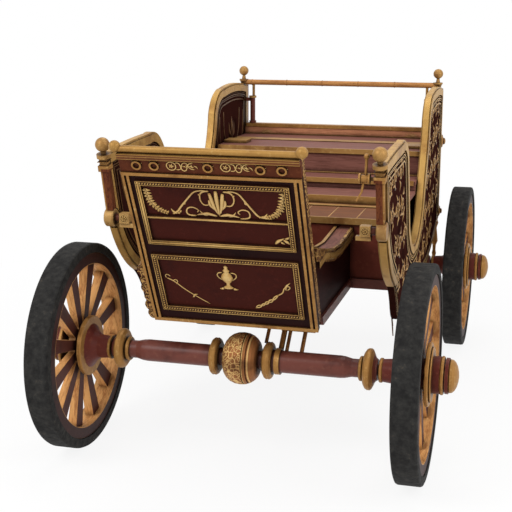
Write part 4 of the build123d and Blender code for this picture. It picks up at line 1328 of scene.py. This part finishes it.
def flat_face(name, out):
    """A bmesh with only the one flat face of a node that looks along out."""
    shape = merged_copy(name)
    away = [face for face in shape.faces if face.normal.dot(out) < 0.99]
    bmesh.ops.delete(shape, geom=away, context="FACES")
    front = max(vert.co.dot(out) for vert in shape.verts) - 0.002
    inner = [face for face in shape.faces if face.calc_center_median().dot(out) < front]
    bmesh.ops.delete(shape, geom=inner, context="FACES")
    bmesh.ops.dissolve_limit(
        shape, angle_limit=FLAT_ANGLE, verts=shape.verts, edges=shape.edges
    )
    return shape


print("face tools ready")

# %% [markdown]
# The row of beads lies in the gap before the first line. It walks round the outline of the face
# after half of that gap, a step at a time, and sets a bead at each step.
# %% Raised lines
LINE_BEAD = (0.65, 0.5, 0.4)


def inset(shape, field, thickness):
    """Insets a field evenly and gives the faces of the ring that this makes."""
    even = {"use_even_offset": True, "use_boundary": True}
    made = bmesh.ops.inset_region(shape, faces=field, thickness=thickness * MM, **even)
    return made["faces"]


def walk(points, pitch):
    """Evenly spaced places and directions round a closed outline."""
    left = pitch / 2
    for first, second in zip(points, points[1:] + points[:1]):
        run = second - first
        while left < run.length:
            yield first + run * (left / run.length), run.normalized()
            left += pitch
        left -= run.length


def raised_lines(name, out, rings, pitch, size):
    """Raised lines that follow the outline of a face, and a row of beads in the first gap."""
    shape = flat_face(name, out)
    field = list(shape.faces)
    lines = []
    paths = []
    for gap, width, height in rings:
        inset(shape, field, gap / 2)
        paths = paths or [[vert.co.copy() for vert in face.verts] for face in field]
        inset(shape, field, gap / 2)
        lines.append((inset(shape, field, width), height * MM))
    keep = set()
    for faces, height in lines:
        raised = bmesh.ops.extrude_face_region(shape, geom=faces, use_keep_orig=True)["geom"]
        top = [item for item in raised if isinstance(item, bmesh.types.BMVert)]
        bmesh.ops.translate(shape, vec=out * height, verts=top)
        keep.update(faces, *(vert.link_faces for vert in top))
    spare = [face for face in shape.faces if face not in keep]
    bmesh.ops.delete(shape, geom=spare, context="FACES")
    for path in paths:
        for spot, along in walk(path, pitch):
            axes = (along, out.cross(along), out)
            axes = [axis * size * share for axis, share in zip(axes, LINE_BEAD)]
            at = Matrix(axes).transposed().to_4x4()
            at.translation = spot
            add_copy(shape, BEAD, at)
    return shape


print("line tools ready")

# %% [markdown]
# Both faces of both sides get the same three lines. Outside they are bright gold, and inside
# they are dull: a darker gold that paints the shade inside the wings.
# %% Lines on the sides
LINE_RINGS = (
    # gap before the line, its width, its height in millimetres
    (17.0, 5.0, 5.0),
    (6.0, 4.0, 3.5),
    (13.0, 7.0, 5.0),
)
BEAD_PITCH = 0.014
BEAD_SIZE = 0.0095
SIDES = (("left", 1), ("right", -1))
for side, sign in SIDES:
    for face_name, way, finish in (("outer", sign, "side_gold"), ("inner", -sign, "dim_gold")):
        out = ACROSS * way
        lines = raised_lines(f"side_panel_{side}", out, LINE_RINGS, BEAD_PITCH, BEAD_SIZE)
        finish_piece(lines, f"{face_name}_lines_{side}", finish, smooth=False)

# %% [markdown]
# Running scrolls fill the dark boards outside. Neighbours turn opposite ways, as carvers lay
# them out, and a thin stem joins two that lie close together. A table gives the middle and the
# reach of each, in millimetres behind the front axle and above ground. The other side is a
# mirrored copy.
# %% Scrolls on the sides
SIDE_SCROLLS = (
    # rows of scrolls: behind the axle, above ground, reach
    ((95, 1215, 52), (250, 1240, 62), (420, 1232, 66)),
    ((170, 1075, 54), (330, 1075, 68), (505, 1075, 66)),
    ((300, 920, 56), (450, 905, 66), (600, 920, 54)),
    ((420, 745, 58), (575, 740, 66), (735, 755, 50)),
    ((650, 630, 42), (800, 640, 46), (950, 645, 48), (1110, 645, 48), (1260, 650, 46)),
    ((1400, 690, 60), (1560, 700, 64), (1730, 720, 62), (1300, 805, 46)),
    ((1450, 850, 62), (1620, 870, 68), (1800, 880, 68), (1980, 900, 68)),
    ((1500, 1030, 56), (1660, 1050, 68), (1840, 1060, 68), (2020, 1075, 62)),
    ((1560, 1200, 58), (1720, 1230, 68), (1890, 1240, 68), (2040, 1250, 52)),
    ((1640, 1370, 44), (1800, 1385, 50), (1960, 1385, 50)),
)
JOINED_WITHIN = 200
axle_low, axle_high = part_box("front_axle_beam")
front_axle_y = (axle_low[1] + axle_high[1]) / 2
side_low, side_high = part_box("side_panel_left")
outer_place = on_side(side_high[0], 1, front_axle_y)
scrolls = bmesh.new()
hand = 1
last = None
for index, (y, z, reach) in enumerate(sum(SIDE_SCROLLS, ())):
    middle = Vector((y, z))
    start = math.radians(200 + 70 * (index % 3))
    volute(scrolls, outer_place, middle, reach * 0.90, start, hand, leaves=4)
    if last and (middle - last).length < JOINED_WITHIN:
        run = middle - last
        step = Vector((-run.y, run.x)).normalized() * 16 * hand
        near, far = last + run * 0.34, last + run * 0.66
        joint = [near, near.lerp(far, 0.35) + step, near.lerp(far, 0.65) - step, far]
        stem(scrolls, outer_place, joint, [2.0, 4.5, 4.5, 2.0])
    last = middle
    hand = -hand
scroll_mesh = finish_piece(scrolls, "side_scrolls_left", "side_gold")

mirrored = bmesh.new()
mirrored.from_mesh(scroll_mesh)
bmesh.ops.scale(mirrored, vec=(-1, 1, 1), verts=mirrored.verts)
finish_piece(mirrored, "side_scrolls_right", "side_gold")

# %% [markdown]
# Inside, each wing has a plainer lyre of two bowed ribs that meet in a point, with a leaf above.
# Both ribs are stems on the inner face, whose place has its third axis towards the seat.
# %% Ribs inside the wings
INNER_RIBS = (
    # points of one rib, radius
    (((1560, 1330), (1560, 1150), (1660, 1080), (1800, 1010)), 6.0),
    (((2040, 1330), (2040, 1150), (1940, 1080), (1800, 1010)), 6.0),
    (((1640, 1350), (1640, 1220), (1720, 1150), (1800, 1110)), 5.0),
    (((1960, 1350), (1960, 1220), (1880, 1150), (1800, 1110)), 5.0),
    (((70, 1250), (110, 1130), (200, 1060), (320, 1000)), 5.0),
    (((560, 1240), (540, 1130), (440, 1060), (320, 1000)), 5.0),
)
INNER_SPRIGS = ((1800, 1240), (320, 1150))
for side, sign in SIDES:
    inner_place = on_side(sign * side_low[0], -sign, front_axle_y)
    ribs = bmesh.new()
    for points, radius in INNER_RIBS:
        tapered(ribs, inner_place, points, radius, radius, 0.8)
    for y, z in INNER_SPRIGS:
        leaf(ribs, inner_place, (y, z - 60), (y, z + 70), 30)
        leaf(ribs, inner_place, (y, z - 50), (y - 50, z + 40), 20, 0.25)
        leaf(ribs, inner_place, (y, z - 50), (y + 50, z + 40), 20, -0.25)
    # The dull dim_gold paints the shade inside the wing.
    finish_piece(ribs, f"inner_ribs_{side}", "dim_gold")

# %% [markdown]
# The seat boards have thin pale inlays that run from front to back, and both ends of the top back
# board carry a small fan of gilded leaves. The places are found on the CAD boxes, so they stay
# on the boards that carry them.
# %% Seat inlays and fans
INLAY_PITCH = 135.0
INLAY_COUNT = 7
INLAY_SHIFT = 30
INLAY_ENDS = (6, 280)
FAN_INSET = 130
FAN_FOOT = -36
FAN_HALF_WIDTH = 44
FAN_HEIGHT = 28
deck_low, deck_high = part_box("seat_deck")
rail_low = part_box("back_rail")[0]
deck_place = Matrix.Translation((0, deck_low[1], deck_high[2]))
inlays = bmesh.new()
for i in range(INLAY_COUNT):
    x = (i - (INLAY_COUNT - 1) / 2) * INLAY_PITCH - INLAY_SHIFT
    bar(inlays, deck_place, (x, INLAY_ENDS[0]), (x, INLAY_ENDS[1]), 3.6, 0.3)
finish_piece(inlays, "seat_inlays", "inlay_gold")

back_place = on_front(rail_low[1] + 0.006, -1, z=rail_low[2])
fans = bmesh.new()
for way in (-1, 1):
    middle = way * (deck_high[0] / MM - FAN_INSET)
    for i in range(7):
        angle = math.radians(15 + 25 * i)
        across = FAN_HALF_WIDTH * math.cos(angle)
        tip = (middle + across, FAN_FOOT + FAN_HEIGHT * math.sin(angle))
        leaf(fans, back_place, (middle, FAN_FOOT), tip, 7, 0.1, flat=0.5)
    for up in (-38, -3):
        bar(fans, back_place, (middle - 52, up), (middle + 52, up), 1.8)
finish_piece(fans, "back_fans", "inlay_gold")

# %% [markdown]
# The rear rail is turned like bamboo, with a raised joint every hand's width. Each joint is a
# closed round stem, laid in a plane across the rail.
# %% Rail joints
JOINT_PITCH = 216.0
JOINT_OFFSET = 100
pole_low, pole_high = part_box("rear_rail")
pole_y = (pole_low[1] + pole_high[1]) / 2
pole_z = (pole_low[2] + pole_high[2]) / 2
pole_radius = (pole_high[2] - pole_low[2]) / 2 / MM
joints = bmesh.new()
for i in range(-2, 3):
    at = on_side((i * JOINT_PITCH - JOINT_OFFSET) * MM, 1, pole_y, pole_z)
    ring(joints, at, (0, 0), pole_radius * 1.06, 2.4, count=10, flat=1.0)
finish_piece(joints, "rail_joints", "rail_wood")

# %% [markdown]
# The moulding of the front box is fluted: short upright beads stand side by side under its edge,
# between two thin lines. The edge dips and rises, so its height at each flute is read from the
# CAD node's own corners.
# %% Flutes of the box
FLUTE_PITCH = 0.013
FLUTE_SIZE = (0.005, 0.0048, 0.017, 1)
FLUTE_DROP = 0.030
FLUTE_START = 0.06
FLUTE_END = 0.01
LINE_START = 0.03
LINE_DROPS = (0.006, 0.044)


def edge_height(corners, y):
    """Height of a broken line at y, between its two nearest corners."""
    for (y0, z0), (y1, z1) in zip(corners, corners[1:]):
        if y0 <= y <= y1:
            return z0 + (z1 - z0) * (y - y0) / max(y1 - y0, 1e-6)
    return corners[-1][1]


band_low, band_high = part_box("box_moulding")
tops = {}
for vertex in nodes["box_moulding"].data.vertices:
    key = round(vertex.co.y, 3)
    tops[key] = max(tops.get(key, -1.0), vertex.co.z)
edge = sorted(tops.items())
flutes = bmesh.new()
y = band_low[1] + FLUTE_START
while y < band_high[1] - FLUTE_END:
    for sign in (-1, 1):
        at = Matrix.Translation((sign * band_high[0], y, edge_height(edge, y) - FLUTE_DROP))
        add_copy(flutes, BEAD, at @ Matrix.Diagonal(FLUTE_SIZE))
    y += FLUTE_PITCH
for sign in (-1, 1):
    flute_place = on_side(sign * band_high[0], sign)
    for drop in LINE_DROPS:
        line = [(y / MM, (z - drop) / MM) for y, z in edge if y > band_low[1] + LINE_START]
        for first, second in zip(line, line[1:]):
            bar(flutes, flute_place, first, second, 3.0, 0.8)
finish_piece(flutes, "box_flutes", "box_gold")

# %% [markdown]
# Two leafy bosses stand on the outer side of each rear corner. Each is a turned shape with a
# ring of leaves under it, and the outline is mirrored for the other side.
# %% Rear bosses
BOSS_OUTLINE = ((0, 27), (5, 34), (9, 31), (10, 22), (15, 17), (19, 17), (23, 11), (25, 1))
BOSSES = (
    # height above ground, scale
    (1163, 1.1),
    (745, 0.9),
)
BOSS_LEAVES = (14, 50)
BOSS_INSET = 0.014
BOSS_SINK = 0.001
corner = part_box("rear_posts")[1]
for side, sign in SIDES:
    bosses = bmesh.new()
    for height, scale in BOSSES:
        at = (sign * (corner[0] - BOSS_SINK), corner[1] - BOSS_INSET, height * MM)
        at = Matrix.Translation(at)
        outline = [(reach * scale, radius * scale, 0) for reach, radius in BOSS_OUTLINE]
        mirror = Matrix.Diagonal((sign, 1, 1, 1))
        add_turned(bosses, outline, (1, 0, 0), 16, at @ mirror)
        reaches = [reach * scale for reach in BOSS_LEAVES]
        face = at @ on_side(0, sign)
        leaf_ring(bosses, face, (0, 0), 8, reaches, 20 * scale, 0.25, 0.2, flat=0.5)
    finish_piece(bosses, f"rear_bosses_{side}", "side_gold")

# %% [markdown]
# A square block stands beside each scroll end, with a small rosette carved on its front. The
# front is the largest flat face of the node that looks ahead, and its middle carries the rosette.
# %% Rosettes of the scroll ends
ROSETTE_RING = 17.5
PETALS = 6


def front_middles(name, looks):
    """Middles of the two largest flat faces of a node that look one way."""
    shape = merged_copy(name)
    bmesh.ops.dissolve_limit(
        shape, angle_limit=FLAT_ANGLE, verts=shape.verts, edges=shape.edges
    )
    shape.normal_update()
    fronts = [face for face in shape.faces if face.normal.dot(looks) > 0.99]
    fronts.sort(key=lambda face: -face.calc_area())
    middles = [face.calc_center_bounds().copy() for face in fronts[:2]]
    shape.free()
    return middles


rosettes = bmesh.new()
for middle in front_middles("scroll_ends", -AHEAD):
    face = on_front(middle.y, -1, middle.x, middle.z)
    ring(rosettes, face, (0, 0), ROSETTE_RING, 2.2)
    leaf_ring(rosettes, face, (0, 0), PETALS, (3, 14), 9)
    bead(rosettes, face, (0, 0), 7, 7, 4)
finish_piece(rosettes, "block_rosettes", "front_gold")

# %% [markdown]
# The back wall and the back of the front panel are out of the photograph's sight. They get the
# plainest finish of the carriage, gilded lines inside their edges, and the back wall carries a
# pair of scrolls that mirror each other.
# %% Backs
BACK_RINGS = (
    # gap before the line, its width, its height in millimetres
    (36.0, 8.0, 5.0),
    (12.0, 4.0, 3.0),
)
BACK_VOLUTES = ((120, 62), (275, 48), (390, 34))
BACK_STEMS = (
    # points from the middle of the wall, radii
    (((10, -70), (70, -88), (150, -70), (215, 20), (250, 46)), (4, 6, 6, 5, 4)),
    (((300, 44), (330, 10), (350, -30), (380, -34)), (4, 5, 5, 3)),
)
BACK_LEAVES = (((0, 120), 34), ((-44, 92), 22), ((44, 92), 22))
BACK_BEADS = (0.016, 0.010)
lines = raised_lines("back_wall", AHEAD, BACK_RINGS, *BACK_BEADS)
finish_piece(lines, "back_wall_lines", "gilt", smooth=False)
lines = raised_lines("front_panel", -PANEL_OUT, BACK_RINGS, *BACK_BEADS)
finish_piece(lines, "panel_back_lines", "gilt", smooth=False)

wall_low, wall_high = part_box("back_wall")
wall_middle = (wall_low[2] + wall_high[2]) / 2 / MM
wall_place = on_front(wall_high[1], 1)
back_scrolls = bmesh.new()
for way in (-1, 1):
    for reach, size in BACK_VOLUTES:
        eye = (way * reach, wall_middle)
        volute(back_scrolls, wall_place, eye, size, math.radians(90), -way, leaves=3)
    for points, radii in BACK_STEMS:
        spots = [(way * x, wall_middle + up) for x, up in points]
        stem(back_scrolls, wall_place, spots, radii)
for (x, up), width in BACK_LEAVES:
    root, tip = (0, wall_middle - 60), (x, wall_middle + up)
    leaf(back_scrolls, wall_place, root, tip, width, flat=0.5)
finish_piece(back_scrolls, "back_scrolls", "front_gold")
